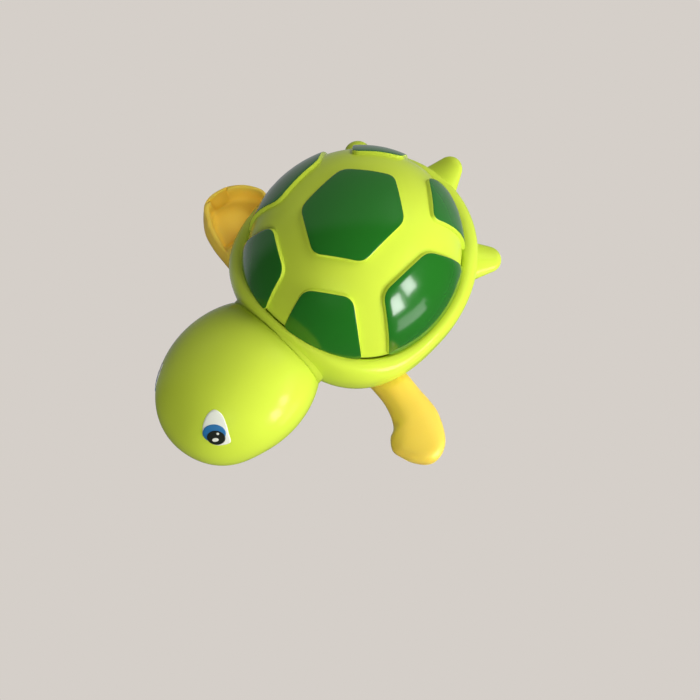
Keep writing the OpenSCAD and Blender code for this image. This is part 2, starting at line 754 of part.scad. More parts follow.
spring_steps = 24;
spring_room = 0.5;
module mainspring() {
    inner = arbor_d / 2 + spring_thick / 2 + slack;
    outer = spring_case_r - case_wall - spring_thick / 2 - spring_room;
    count = spring_turns * spring_steps;
    function coil(i, side) = (inner + (outer - inner) * i / count + side * spring_thick / 2)
        * turned(360 * i / spring_steps);
    color(steel) translate([spring_x, spring_axis[0], spring_axis[1]]) rotate([90, 0, 90])
        linear_extrude(height = spring_width) polygon(concat(
            [for (i = [0:count]) coil(i, 1)], [for (i = [count:-1:0]) coil(i, -1)]));
}

// A plate with two rounded ends, as two cylinders and the straight piece that touches both
tangent_share = 0.99;
module link(from, to, a, ra, b, rb) {
    along_x(from, to, ra, a);
    along_x(from, to, rb, b);
    d = b - a;
    base = atan2(d[1], d[0]);
    lean = acos((ra - rb) / norm(d));
    translate([from, 0, 0]) rotate([90, 0, 90]) linear_extrude(height = to - from) polygon([
        a + ra * tangent_share * turned(base + lean), a + ra * tangent_share * turned(base - lean),
        b + rb * tangent_share * turned(base - lean), b + rb * tangent_share * turned(base + lean)]);
}

module case_block(from, to, inset) {
    link(from, to, shaft_axis, shaft_case_r - inset, idler_axis, idler_case_r - inset);
    link(from, to, idler_axis, idler_case_r - inset, spring_axis, spring_case_r - inset);
}

module ears(from, to) {
    for (p = ear_places) along_x(from, to, ear_r, p);
}

module axis_bores(from, to) {
    along_x(from, to, shaft_d / 2 + running, shaft_axis);
    along_x(from, to, journal_d / 2 + running, spring_axis);
    along_x(from, to, idler_pin_d / 2, idler_axis);
}

ear_length = screw_length + 1;
module gearbox_base() {
    color(tan_case) difference() {
        union() {
            case_block(case_out, cover_in, 0);
            ears(cover_in - ear_length, cover_in);
            for (y = flange_places) let (inward = y < shaft_y ? shaft_y : spring_axis[0], outward = y - shaft_y < 0 ? -1 : 1)
                translate([case_middle - flange_half_width, min(inward, y + outward * flange_margin), flange_height])
                    cube([2 * flange_half_width, abs(inward - y - outward * flange_margin), flange_thick]);
        }
        case_block(case_in, cover_in + eps, case_wall);
        axis_bores(case_out - eps, case_in + eps);
        for (p = ear_places)
            along_x(cover_in - ear_length - eps, cover_in + eps, screw_d / 2 + slack, p, 32);
        for (y = flange_places) translate([case_middle, y, flange_height - eps])
            cylinder(h = flange_thick + 2 * eps, d = screw_d + 2 * slack, $fn = 32);
    }
}

module gearbox_cover() {
    color(tan_case) difference() {
        union() {
            case_block(cover_in, cover_out, 0);
            ears(cover_in, cover_out);
        }
        axis_bores(cover_in - eps, cover_out + eps);
        for (p = ear_places) along_x(cover_in - eps, cover_out + eps, screw_d / 2 + slack, p, 32);
    }
}

module case_screws() {
    color(steel) for (p = ear_places)
        translate([cover_out, p[0], p[1]]) rotate([0, -90, 0]) small_screw();
}

module mount_screws() {
    color(steel) for (y = flange_places)
        translate([case_middle, y, flange_height + flange_thick]) rotate([180, 0, 0])
            screw(screw_d, screw_head_d, screw_head_h, mount_screw_length);
}

module belly_screws() {
    color(steel) for (p = post_places)
        translate([p[0], p[1], well_depth]) screw(belly_screw_d, belly_head_d, screw_head_h, belly_screw_length);
}

// Shaft and flippers
shaft_grip = 5.5;
shaft_end = root_x + shaft_grip;
module paddle_shaft() {
    color(steel) along_x(-shaft_end, shaft_end, shaft_d / 2, shaft_axis);
}

flipper_stations = 20;
flipper_spokes = 24;
flipper_blend = 8;
paddle_x = root_x + arm_length;
flipper_tip = paddle_x + paddle_half_length;
root_share = 0.86;
tip_inset = 0.02;
scoop_start = shaft_end + flipper_wall;
function positive(v) = max(v, 0);
function end_share(x, reach) = x < paddle_x ? 1
    : sqrt(positive(1 - pow((x - paddle_x) / reach, 2)));
function paddle_share(x, reach) = sqrt(positive(1 - pow((x - paddle_x) / reach, 2)));
function arm_middle(x) = -arm_lean * positive(x - root_x) / arm_length;
function arm_half(x) = (arm_half_width + arm_widen * positive(x - root_x) / arm_length);
function both(a, b) = pow(pow(positive(a), flipper_blend) + pow(positive(b), flipper_blend), 1 / flipper_blend);
// Edges of the flipper ahead of and behind the shaft's line, and half its thickness, at one station
function front_edge(x, inset) = let (reach = paddle_half_length - inset, m = arm_middle(x))
    m - both((arm_half(x) - inset) * end_share(x, reach),
        m + paddle_offset + (paddle_half_width - inset) * paddle_share(x, reach) * (paddle_share(x, reach) > 0 ? 1 : 0)
        - (paddle_share(x, reach) > 0 ? 0 : past));
function rear_edge(x, inset) = let (reach = paddle_half_length - inset, m = arm_middle(x))
    m + both((arm_half(x) - inset) * end_share(x, reach),
        -m - paddle_offset + (paddle_half_width - inset) * paddle_share(x, reach) - (paddle_share(x, reach) > 0 ? 0 : past));
function root_ease(x) = root_share + (1 - root_share) * min(1, positive(x - root_x) / shaft_grip);
function half_thick(x, inset) = (flipper_half_thick - inset) * root_ease(x) * end_share(x, paddle_half_length - inset);
function flipper_ring(x, inset, spokes) = let (f = front_edge(x, inset), r = rear_edge(x, inset),
        h = half_thick(x, inset), m = (f + r) / 2, w = (r - f) / 2)
    [for (t = angles(spokes)) [x, m + w * spow(cos(t), 2 / flipper_power), h * spow(sin(t), 2 / flipper_power)]];
function eased(i, n) = sin(90 * i / n);

module flipper_block(from, inset, stations, spokes) {
    to = flipper_tip - inset - tip_inset;
    loft([for (i = [0:stations]) flipper_ring(from + (to - from) * eased(i, stations), inset, spokes)]);
}

module flipper() {
    difference() {
        flipper_block(root_x, 0, flipper_stations, flipper_spokes);
        flipper_block(scoop_start, flipper_wall, 12, 16);
        translate([scoop_start, -past, -open_height - past]) cube([past, 2 * past, past]);
        along_x(root_x - eps, shaft_end + slack, shaft_d / 2 + slack, [0, 0], 32);
    }
}

module left_flipper() {
    color(yellow) translate([0, shaft_y, shaft_z]) flipper();
}

module right_flipper() {
    color(yellow) translate([0, shaft_y, shaft_z]) rotate([180, 0, 0]) mirror([1, 0, 0]) flipper();
}

carapace_cover();
scute_paint();
lower_hull();
head_shell();
head_screws();
eye_whites();
eye_irises();
eye_pupils();
gearbox_base();
gearbox_cover();
case_screws();
mount_screws();
belly_screws();
mainspring();
spring_arbor();
spring_gear();
idler_gear();
idler_pin();
paddle_shaft();
shaft_pinion();
left_flipper();
right_flipper();
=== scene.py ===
"""Looks of a wind-up swimming turtle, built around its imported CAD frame.

Every length is in millimetres until a mesh is made, and then in metres, in the CAD's own frame:
the head points along -Y, the toy's left is +X and the belly rests on z = 0.
"""

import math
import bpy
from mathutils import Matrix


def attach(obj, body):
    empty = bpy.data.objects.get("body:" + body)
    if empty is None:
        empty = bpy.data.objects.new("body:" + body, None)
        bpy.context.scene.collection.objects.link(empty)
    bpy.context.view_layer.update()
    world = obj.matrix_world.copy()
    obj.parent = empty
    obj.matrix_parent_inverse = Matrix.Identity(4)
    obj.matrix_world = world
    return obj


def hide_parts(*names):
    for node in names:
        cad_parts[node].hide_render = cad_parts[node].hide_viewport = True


bl_info = {
    "name": "Swimming turtle looks",
    "version": (1, 0, 0),
    "blender": (4, 5, 0),
    "location": "View3D > Sidebar > Turtle",
    "description": "Builds the shells, paint, eyes and flippers of a wind-up swimming turtle",
    "category": "Object",
}

import bpy
import numpy as np
from mathutils import Matrix

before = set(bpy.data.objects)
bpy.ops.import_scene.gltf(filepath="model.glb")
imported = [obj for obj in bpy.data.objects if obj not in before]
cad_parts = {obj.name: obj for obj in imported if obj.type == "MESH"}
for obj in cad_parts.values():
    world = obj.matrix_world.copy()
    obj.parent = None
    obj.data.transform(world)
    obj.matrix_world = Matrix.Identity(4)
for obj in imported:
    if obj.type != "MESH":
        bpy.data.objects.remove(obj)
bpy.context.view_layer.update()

MM = 0.001
TURN = 2 * math.pi


def size(name, description, default):
    """A length in millimetres that a user may change."""
    return bpy.props.FloatProperty(name=name, description=description, default=default, min=0.0)


def number(name, description, default):
    """A plain number that a user may change."""
    return bpy.props.FloatProperty(name=name, description=description, default=default)


def share(name, description, default):
    """A share from 0 to 1 that a user may change."""
    return bpy.props.FloatProperty(
        name=name, description=description, default=default, min=0.0, max=1.0, subtype="FACTOR")


def angle(name, description, degrees):
    """An angle that a user may change."""
    return bpy.props.FloatProperty(
        name=name, description=description, default=math.radians(degrees), subtype="ANGLE")


def pair(name, description, default):
    """Two lengths in millimetres that a user may change."""
    return bpy.props.FloatVectorProperty(name=name, description=description, default=default, size=2)


def colour(name, description, default):
    """A linear colour that a user may change."""
    return bpy.props.FloatVectorProperty(
        name=name, description=description, default=default, subtype="COLOR", min=0.0, max=1.0)


class TurtleShell(bpy.types.PropertyGroup):
    """Sizes of hull, dome and scutes, in millimetres."""

    rim_half_width: size("Half width", "Half width of the hull at its widest", 33.6)
    rim_rear: size("Rear", "Length of the hull behind the middle", 38.2)
    rim_front: size("Front", "Length of the hull in front of the middle", 33.8)
    lip_height: size("Lip height", "Height of the lip at the sides and the rear", 24.8)
    rim_climb: size("Climb", "How far the lip climbs over the neck", 11.4)
    climb_start: size("Climb start", "Where the climb begins, ahead of the middle", 5.0)
    climb_end: size("Climb end", "Where the climb ends, ahead of the middle", 31.2)
    climb_power: number("Climb power", "How late the climb steepens", 2.5)
    shoulder_rise: size("Shoulder rise", "Height of the rounded shoulder under the lip", 4.3)
    side_crest: size("Side crest", "How far the lip's crest stands off the dome at the sides", 1.7)
    rear_crest: size("Rear crest", "How far the lip's crest stands off the dome at the rear", 2.6)
    bow_power: number("Bow power", "Squareness of the hull's outline in front", 2.6)
    belly_share: share("Belly share", "Share of the depth where the wall would close", 0.92)
    belly_power: number("Belly power", "Fullness of the wall from shoulder to belly", 2.6)
    dome_side_inset: size("Dome side inset", "From the hull's outside to the dome at the sides", 4.2)
    dome_rear_inset: size("Dome rear inset", "From the hull's outside to the dome at the rear", 7.0)
    dome_front_inset: size("Dome front inset", "From the front of the hull back to the dome", 1.0)
    front_crest: size("Front crest", "How far the lip stands off the dome in front", 0.9)
    dome_rise: size("Dome rise", "Height of the dome above its widest line", 29.8)
    dome_drop: size("Dome drop", "How far the widest line is below the lip", 0.4)
    scute_rise: size("Scute rise", "How far the scutes stand out", 0.9)
    scute_round: size("Scute rounding", "Radius of the scutes' corners", 1.1)
    scute_spread: size("Scute spread", "How far the outer scutes reach past their corners", 1.0)
    rear_spread: size("Rear spread", "How far the two rear scutes spread", 0.2)
    scute_fillet: size("Scute fillet", "Radius of the scutes' upper edge", 0.35)
    paint_thick: size("Paint", "Thickness of the paint", 0.06)
    foot_reach: size("Foot reach", "How far the rear feet reach from the middle", 43.7)
    foot_turn: angle("Foot turn", "Direction of the rear feet, from straight out to the rear", 48.0)
    foot_height: size("Foot height", "Height of the rear feet", 16.0)
    foot_length: size("Foot length", "Length of a foot from its root inside the hull", 13.0)
    foot_root: size("Foot root", "Half width of a foot at its root", 9.0)
    foot_tip_r: size("Foot tip", "Radius of a foot's rounded end", 4.2)
    tail_reach: size("Tail reach", "How far the tail reaches behind the middle", 45.3)
    tail_height: size("Tail height", "Height of the tail's end", 21.8)
    tail_length: size("Tail length", "Length of the tail from its root inside the hull", 9.0)
    tail_root: size("Tail root", "Half width of the tail at its root", 8.6)
    tail_tip_r: size("Tail tip", "Radius of the tail's end", 4.0)
    tail_dip: size("Tail dip", "How far the tail's root is below its end", 4.3)
    fin_share: share("Fin share", "Thickness of feet and tail as a share of their width", 0.6)


class TurtleHead(bpy.types.PropertyGroup):
    """Sizes of the head and the eyes, in millimetres."""

    neck_face: size("Neck face", "Distance of the neck's face ahead of the middle", 33.2)
    neck_height: size("Neck height", "Height of the neck's middle line", 19.3)
    cranium_width: size("Cranium width", "Half width of the cranium", 21.6)
    cranium_length: size("Cranium length", "Half length of the cranium", 24.5)
    cranium_height: size("Cranium height", "Half height of the cranium", 18.0)
    cranium_ahead: size("Cranium ahead", "From the neck's face to the cranium's middle", 14.2)
    muzzle_width: size("Muzzle width", "Half width of the muzzle", 15.6)
    muzzle_length: size("Muzzle length", "Half length of the muzzle", 12.8)
    muzzle_height: size("Muzzle height", "Half height of the muzzle", 11.6)
    muzzle_ahead: size("Muzzle ahead", "From the neck's face to the muzzle's middle", 25.0)
    muzzle_drop: size("Muzzle drop", "How far the muzzle is below the neck's line", 4.8)
    blend_power: number("Blend power", "How sharply muzzle and cranium meet", 16.0)
    roll: angle("Roll", "How far the head is turned about the neck", 20.0)
    eye_side: size("Eye side", "Distance of an eye to the side", 11.75)
    eye_ahead: size("Eye ahead", "Distance of an eye ahead of the neck's face", 28.3)
    eye_up: size("Eye up", "Height of an eye above the neck's line", 7.4)
    far_eye_drop: size("Far eye drop", "How far the right eye is below the left", 2.4)
    iris_place: pair("Iris place", "Middle of the iris, across and up from the eye's middle", (0.15, 0.35))
    iris_wide: size("Iris width", "Half width of the iris", 3.1)
    iris_high: size("Iris height", "Half height of the iris", 2.55)
    pupil_place: pair("Pupil place", "Middle of the pupil, across and up as above", (0.25, -1.0))
    pupil_wide: size("Pupil width", "Half width of the pupil", 2.4)
    pupil_high: size("Pupil height", "Half height of the pupil", 2.15)
    glint_place: pair("Glint place", "Middle of the large printed glint", (-0.1, -1.45))
    glint_wide: size("Glint width", "Half width of the large glint", 0.85)
    glint_high: size("Glint height", "Half height of the large glint", 0.55)
    spark_place: pair("Spark place", "Middle of the small printed glint", (1.15, 0.15))
    spark_r: size("Spark", "Radius of the small glint", 0.34)
    print_thick: size("Print", "Height of one printed layer", 0.06)


class TurtleFlipper(bpy.types.PropertyGroup):
    """Sizes of the left and the right flipper, in millimetres."""

    shaft_ahead: size("Shaft ahead", "Distance of the shaft ahead of the middle", 16.0)
    shaft_height: size("Shaft height", "Height of the shaft", 10.0)
    root: size("Root", "Where the arm begins, out from the toy's middle", 28.34)
    back_height: pair("Back height", "Height of the back off the shaft's line, left and right", (5.6, 4.6))
    open_height: size("Open height", "Height of the open edge off the shaft's line", 3.4)
    front_tuck: pair("Front tuck", "Open edge inside the front edge, left and right", (0.5, 0.4))
    rear_tuck: pair("Rear tuck", "Open edge inside the rear edge, left and right", (0.5, 2.0))
    wall: size("Wall", "Wall of the paddle", 1.1)
    power: number("Section power", "Roundness of the section", 2.4)


class TurtleLook(bpy.types.PropertyGroup):
    """Colours of the plastics, the paint, the prints, the metal and the ground."""

    lime: colour("Lime", "Plastic of shell and head", (0.58, 0.72, 0.055))
    green: colour("Green", "Paint on the scutes", (0.012, 0.142, 0.010))
    yellow: colour("Yellow", "Plastic of the flippers", (1.0, 0.67, 0.085))
    white: colour("White", "White of the eyes", (0.80, 0.82, 0.70))
    blue: colour("Blue", "Irises", (0.02, 0.16, 0.37))
    black: colour("Black", "Pupils", (0.012, 0.016, 0.010))
    steel: colour("Steel", "Shaft, pins, spring and screws", (0.56, 0.57, 0.58))
    case: colour("Case", "Plastic of the motor's case", (0.60, 0.57, 0.45))
    nylon: colour("Nylon", "Gears", (0.78, 0.78, 0.72))
    backdrop: colour("Backdrop", "Plain ground under the toy", (0.665, 0.624, 0.584))


GROUPS = {
    "turtle_shell": TurtleShell,
    "turtle_head": TurtleHead,
    "turtle_flipper": TurtleFlipper,
    "turtle_look": TurtleLook,
}


def values(group):
    """One of the property groups of the scene."""
    return getattr(bpy.context.scene, group)


# Meshes


def make_object(name, points, faces):
    """A smooth mesh object from points in millimetres."""
    mesh = bpy.data.meshes.new(name)
    mesh.from_pydata((np.asarray(points, dtype=float) * MM).tolist(), [], faces)
    mesh.validate()
    mesh.update()
    mesh.polygons.foreach_set("use_smooth", [True] * len(mesh.polygons))
    obj = bpy.data.objects.new(name, mesh)
    bpy.context.scene.collection.objects.link(obj)
    return obj


class Builder:
    """Collects grids of points into one mesh."""

    def __init__(self):
        self.points = []
        self.faces = []

    def grid(self, rows, start_cap=False, end_cap=False, flip=False):
        """Adds closed rows of points, each joined to the next, with fans over the ends on request."""
        rows = np.asarray(rows, dtype=float)
        count, width = rows.shape[0], rows.shape[1]
        base = len(self.points)
        self.points.extend(rows.reshape(-1, 3).tolist())
        made = []
        for i in range(count - 1):
            for j in range(width):
                a = base + i * width + j
                b = base + i * width + (j + 1) % width
                made.append((a, b, b + width, a + width))
        for cap, row in ((start_cap, 0), (end_cap, count - 1)):
            if not cap:
                continue
            middle = len(self.points)
            self.points.append(rows[row].mean(axis=0).tolist())
            for j in range(width):
                a = base + row * width + j
                b = base + row * width + (j + 1) % width
                made.append((b, a, middle) if row == 0 else (a, b, middle))
        if flip:
            made = [tuple(reversed(face)) for face in made]
        self.faces.extend(made)

    def build(self, name):
        """Makes the object."""
        return make_object(name, self.points, self.faces)


def place(obj, body, nodes, material):
    """Gives an object its material and ties it to the frame."""
    obj.data.materials.append(material)
    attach(obj, body)
    if nodes:
        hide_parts(*nodes)


GRAIN_SCALE = 1500.0
GRAIN_HEIGHT = 0.02
CLOUD_SCALE = 60.0
CLOUD_SHARE = 0.05
GLOW_SHARES = (1.0, 0.6, 0.15)
GLOW_DEPTH = 4.0
GLOSS_SPREAD = 0.15
COAT_ROUGHNESS = 0.04
PLASTIC_IOR = 1.5
LIME_GLOSS = {"roughness": 0.18, "specular": 0.12, "coat": 0.03}
PAINT_GLOSS = {"roughness": 0.16, "specular": 0.4, "coat": 0.2}
PRINT_GLOSS = {"roughness": 0.3, "coat": 0.1}
YELLOW_SATIN = {"roughness": 0.42, "grain": 0.4, "glow": 0.15}
STEEL_SHINE = {"roughness": 0.3, "metallic": 1.0}
CASE_SATIN = {"roughness": 0.5, "grain": 0.4}
NYLON_SATIN = {"roughness": 0.45, "grain": 0.4}


def finish(name, base, roughness, metallic=0.0, specular=0.5, coat=0.0, grain=0.15, glow=0.0):
    """A moulded, printed or metal surface with a fine grain and a faint cloudiness."""
    material = bpy.data.materials.get(name)
    if material:
        return material
    material = bpy.data.materials.new(name)
    material.use_nodes = True
    nodes, links = material.node_tree.nodes, material.node_tree.links
    shader = nodes["Principled BSDF"]
    shader.inputs["Metallic"].default_value = metallic
    shader.inputs["IOR"].default_value = PLASTIC_IOR
    shader.inputs["Specular IOR Level"].default_value = specular
    shader.inputs["Coat Weight"].default_value = coat
    shader.inputs["Coat Roughness"].default_value = COAT_ROUGHNESS
    shader.inputs["Subsurface Weight"].default_value = glow
    shader.inputs["Subsurface Radius"].default_value = GLOW_SHARES
    shader.inputs["Subsurface Scale"].default_value = GLOW_DEPTH * MM
    spot = nodes.new("ShaderNodeTexCoord")
    clouds = nodes.new("ShaderNodeTexNoise")
    clouds.inputs["Scale"].default_value = CLOUD_SCALE
    links.new(spot.outputs["Object"], clouds.inputs["Vector"])
    tint = nodes.new("ShaderNodeValToRGB")
    for stop, way in zip(tint.color_ramp.elements, (-1, 1)):
        stop.color = (*(min(1.0, part * (1 + way * CLOUD_SHARE)) for part in base), 1.0)
    links.new(clouds.outputs["Fac"], tint.inputs[0])
    links.new(tint.outputs["Color"], shader.inputs["Base Color"])
    gloss = nodes.new("ShaderNodeMapRange")
    gloss.inputs["To Min"].default_value = roughness * (1 - GLOSS_SPREAD)
    gloss.inputs["To Max"].default_value = roughness * (1 + GLOSS_SPREAD)
    links.new(clouds.outputs["Fac"], gloss.inputs["Value"])
    links.new(gloss.outputs["Result"], shader.inputs["Roughness"])
    grains = nodes.new("ShaderNodeTexNoise")
    grains.inputs["Scale"].default_value = GRAIN_SCALE
    links.new(spot.outputs["Object"], grains.inputs["Vector"])
    bump = nodes.new("ShaderNodeBump")
    bump.inputs["Strength"].default_value = grain
    bump.inputs["Distance"].default_value = GRAIN_HEIGHT * MM
    links.new(grains.outputs["Fac"], bump.inputs["Height"])
    links.new(bump.outputs["Normal"], shader.inputs["Normal"])
    return material


def lime_plastic():
    """The plastic of hull, cover and head."""
    return finish("lime plastic", values("turtle_look").lime, **LIME_GLOSS)


# Hull

FRONT_SINE = 0.8
LIP_GAP = 0.35
LIP_ROUND = 0.8
LEDGE_UNDER = 2.1
LEDGE_DROP = 0.9
RIM_POINTS = 240
RIM_FINE_POINTS = 4001
CREST_ROUNDS = 6
WALL_ROWS = 26
SHOULDER_ROWS = 19
LIP_ROWS = 10
FIN_POINTS = 48
FIN_END_ROWS = 12
FIN_END_GAP = 0.02
COLLAR_DEPTH = 7.0
COLLAR_INSET = 0.2
COLLAR_POINTS = 96


def signed_power(value, power):
    """A power that keeps the sign."""
    return np.sign(value) * np.abs(value) ** power


def lip_z(y):
    """Height of the lip at a place along the toy."""
    s = values("turtle_shell")
    climb = np.maximum(0.0, -y - s.climb_start) / (s.climb_end - s.climb_start)
    return s.lip_height + s.rim_climb * climb ** s.climb_power


def rim_plan(t):
    """Outline of the rim seen from above."""
    s = values("turtle_shell")
    front = np.sin(t) < 0
    x = s.rim_half_width * np.where(front, signed_power(np.cos(t), 2 / s.bow_power), np.cos(t))
    y = np.where(front, s.rim_front * signed_power(np.sin(t), 2 / s.bow_power), s.rim_rear * np.sin(t))
    return x, y


def rim_angles(count):
    """Angles that spread the rim's points evenly along its length."""
    fine = np.linspace(0.0, TURN, RIM_FINE_POINTS)
    x, y = rim_plan(fine)
    run = np.concatenate([[0.0], np.cumsum(np.hypot(np.diff(x), np.diff(y)))])
    return np.interp(np.linspace(0.0, run[-1], count, endpoint=False), run, fine)


def hull_share(u):
    """Size of the hull's outline at a share of its height."""
    s = values("turtle_shell")
    return (1 - (s.belly_share * (1 - u)) ** s.belly_power) ** (1 / s.belly_power)


def blended(t, side, rear, front):
    """A width that changes from the sides to the rear and to the front."""
    ease = np.minimum(1.0, np.maximum(0.0, -np.sin(t)) / FRONT_SINE)
    ease = ease ** 2 * (3 - 2 * ease)
    return (side + (rear - side) * np.maximum(0.0, np.sin(t)) ** 2) * (1 - ease) + front * ease


def crest_off(t):
    """Distance of the lip's crest from the dome."""
    s = values("turtle_shell")
    return blended(t, s.side_crest, s.rear_crest, s.front_crest)


def off_dome(t, z, off):
    """A line in plan, a distance outside the dome at a height."""
    middle, radii = dome_parts()
    part = np.sqrt(np.maximum(0.0, 1 - ((z - middle[2]) / radii[2]) ** 2))
    x = (radii[0] * part + off) * np.cos(t)
    y = middle[1] + (radii[1] * part + off) * np.sin(t)
    return np.stack([x, y], axis=-1)


def crest_z(t):
    """Height of the lip's crest round the hull."""
    off = crest_off(t)
    s = values("turtle_shell")
    z = s.lip_height + s.rim_climb * np.maximum(0.0, -np.sin(t)) ** 2
    for _ in range(CREST_ROUNDS):
        z = (z + lip_z(off_dome(t, z, off)[:, 1])) / 2
    return z


def wall_row(t, u):
    """One line round the side wall."""
    s = values("turtle_shell")
    plan = np.stack(rim_plan(t), axis=1) * hull_share(u)
    return np.column_stack([plan, np.full(len(t), u * (s.lip_height - s.shoulder_rise))])


def shoulder_row(t, a):
    """One line round the shoulder, from the wall at angle 0 to the crest at a quarter turn."""
    s = values("turtle_shell")
    top = crest_z(t)
    rim = np.stack(rim_plan(t), axis=1)
    crest = off_dome(t, top, crest_off(t))
    low = s.lip_height - s.shoulder_rise
    return np.column_stack([rim + (crest - rim) * (1 - math.cos(a)), low + (top - low) * math.sin(a)])


def lip_row(t, a):
    """One line round the inside of the lip, from its crest at angle 0 to its face at a quarter turn."""
    top = crest_z(t)
    off = crest_off(t) + (LIP_GAP - crest_off(t)) * math.sin(a)
    z = top - LIP_ROUND * (1 - math.cos(a))
    return np.column_stack([off_dome(t, z, off), z])


def ledge_row(t, off, drop):
    """One line round the ledge that carries the cover."""
    plan = off_dome(t, crest_z(t) - LEDGE_DROP, off)
    return np.column_stack([plan, lip_z(plan[:, 1]) - drop])


def fin(builder, start, end, root_r, tip_r):
    """A flattened cone with a rounded end."""
    flat_share = values("turtle_shell").fin_share
    start, end = np.array(start, float), np.array(end, float)
    along = end - start
    length = np.linalg.norm(along)
    along /= length
    side = np.cross(along, (0.0, 0.0, 1.0))
    side /= np.linalg.norm(side)
    up = np.cross(side, along)
    lean = math.asin((root_r - tip_r) / length)
    t = np.linspace(0.0, TURN, FIN_POINTS, endpoint=False)
    stops = [(0.0, root_r)]
    for a in np.linspace(lean, math.pi / 2 - FIN_END_GAP, FIN_END_ROWS):
        stops.append((length + tip_r * math.sin(a), tip_r * math.cos(a)))
    ring = np.cos(t)[:, None] * side + flat_share * np.sin(t)[:, None] * up
    builder.grid([start + along * far + r * ring for far, r in stops], end_cap=True, flip=True)


def roll(points):
    """Turns points of the head about the neck's line."""
    h = values("turtle_head")
    points = np.asarray(points, float)
    c, n = math.cos(h.roll), math.sin(h.roll)
    x, z = points[..., 0], points[..., 2] - h.neck_height
    return np.stack([x * c - z * n, points[..., 1], h.neck_height + x * n + z * c], axis=-1)


def collar_ring(y):
    """Edge of the neck where the head sits."""
    h = values("turtle_head")
    part = math.sqrt(1 - (h.cranium_ahead / h.cranium_length) ** 2)
    t = np.linspace(0.0, TURN, COLLAR_POINTS, endpoint=False)
    wide = h.cranium_width * part - COLLAR_INSET
    high = h.cranium_height * part - COLLAR_INSET
    ring = np.stack([wide * np.cos(t), np.full_like(t, y), h.neck_height + high * np.sin(t)], axis=1)
    return roll(ring)


class TURTLE_OT_hull(bpy.types.Operator):
    """Builds the hull with its lip, rear feet, tail and neck"""

    bl_idname = "turtle.hull"
    bl_label = "Hull"

    def execute(self, context):
        s = values("turtle_shell")
        h = values("turtle_head")
        t = rim_angles(RIM_POINTS)
        builder = Builder()
        rows = [wall_row(t, u) for u in np.linspace(0.0, 1.0, WALL_ROWS)]
        rows += [shoulder_row(t, a) for a in np.linspace(0.0, math.pi / 2, SHOULDER_ROWS)[1:]]
        rows += [lip_row(t, a) for a in np.linspace(0.0, math.pi / 2, LIP_ROWS)[1:]]
        rows.append(ledge_row(t, LIP_GAP, LEDGE_DROP))
        rows.append(ledge_row(t, -LEDGE_UNDER, LEDGE_DROP))
        rows.append(ledge_row(t, -LEDGE_UNDER, 2 * LEDGE_DROP))
        builder.grid(rows, start_cap=True)
        for side in (-1, 1):
            way = np.array([side * math.cos(s.foot_turn), math.sin(s.foot_turn), 0.0])
            up = np.array([0.0, 0.0, s.foot_height])
            tip = s.foot_reach - s.foot_tip_r
            fin(builder, way * (tip - s.foot_length) + up, way * tip + up, s.foot_root, s.foot_tip_r)
        tip = s.tail_reach - s.tail_tip_r
        fin(builder, (0, tip - s.tail_length, s.tail_height - s.tail_dip), (0, tip, s.tail_height),
            s.tail_root, s.tail_tip_r)
        ends = (h.neck_face - COLLAR_DEPTH, h.neck_face)
        builder.grid([collar_ring(-y) for y in ends], end_cap=True)
        place(builder.build("hull_skin"), "toy", ["lower_hull"], lime_plastic())
        return {"FINISHED"}


# Dome and scutes

SEAT_GAP = 0.4
SCUTE_RAISE = 1.9
WALL_FOOT = 0.35
FOOT_RISE_SHARE = 0.12
FILLET_ROWS = 7
TOP_SHARES = (0.9, 0.75, 0.55, 0.35, 0.15)
CORNER_POINTS = 9
BOTTOM_POINTS = 14
OUTLINE_POINTS = 180
EDGE_RANGE = (0.5, 1.9)
RUN_RANGE = (0.5, 3.0)
SEARCH_ROUNDS = 40
DOME_POINTS = 200
DOME_ROWS = 60
DOME_TOP_SHARE = 0.02
COVER_SKIRT = 1.5
PAINT_EDGE_SHARE = 0.7
PAINT_FOOT_SHARE = 0.2
PAINT_BEND_SHARE = 0.05
PAINT_INSET = 0.1
TINY = 1e-9
# Corners of the scutes as shares of the dome's half width and half length. The open ones run from the
# cover's edge up one side, over their inner corners and down the other side.
CROWN = [(0, -0.456), (0.359, -0.249), (0.359, 0.21), (0, 0.456), (-0.359, 0.21), (-0.359, -0.249)]
OPEN_SCUTES = {
    "front": [(0.133, -0.923), (0.14, -0.67), (0.456, -0.488), (0.743, -0.657)],
    "side": [(0.882, -0.428), (0.627, -0.263), (0.644, 0.184), (0.872, 0.546)],
    "rear": [(0.709, 0.712), (0.467, 0.437), (0.15, 0.715), (0.218, 0.868)],
}


def dome_parts():
    """Middle and radii of the dome."""
    s = values("turtle_shell")
    wide = s.rim_half_width - s.dome_side_inset
    front = s.rim_front - s.dome_front_inset
    rear = s.rim_rear - s.dome_rear_inset
    middle = np.array([0.0, (rear - front) / 2, s.lip_height - s.dome_drop])
    return middle, np.array([wide, (front + rear) / 2, s.dome_rise])


def dome_point(q, lift):
    """A point on the dome, from angles about its top laid out flat, raised along the surface."""
    middle, radii = dome_parts()
    q = np.asarray(q, float)
    a = np.linalg.norm(q, axis=-1)
    way = q / np.maximum(a, TINY)[..., None]
    n = np.concatenate([way * np.sin(a)[..., None], np.cos(a)[..., None]], axis=-1)
    normal = n / radii
    normal /= np.linalg.norm(normal, axis=-1)[..., None]
    return middle + n * radii + normal * np.asarray(lift)[..., None]


def flat(shares):
    """Plan shares of the dome as angles about its top, laid out flat."""
    shares = np.asarray(shares, float)
    r = np.linalg.norm(shares, axis=-1)
    return shares / np.maximum(r, TINY)[..., None] * np.arcsin(np.minimum(r, 1.0))[..., None]


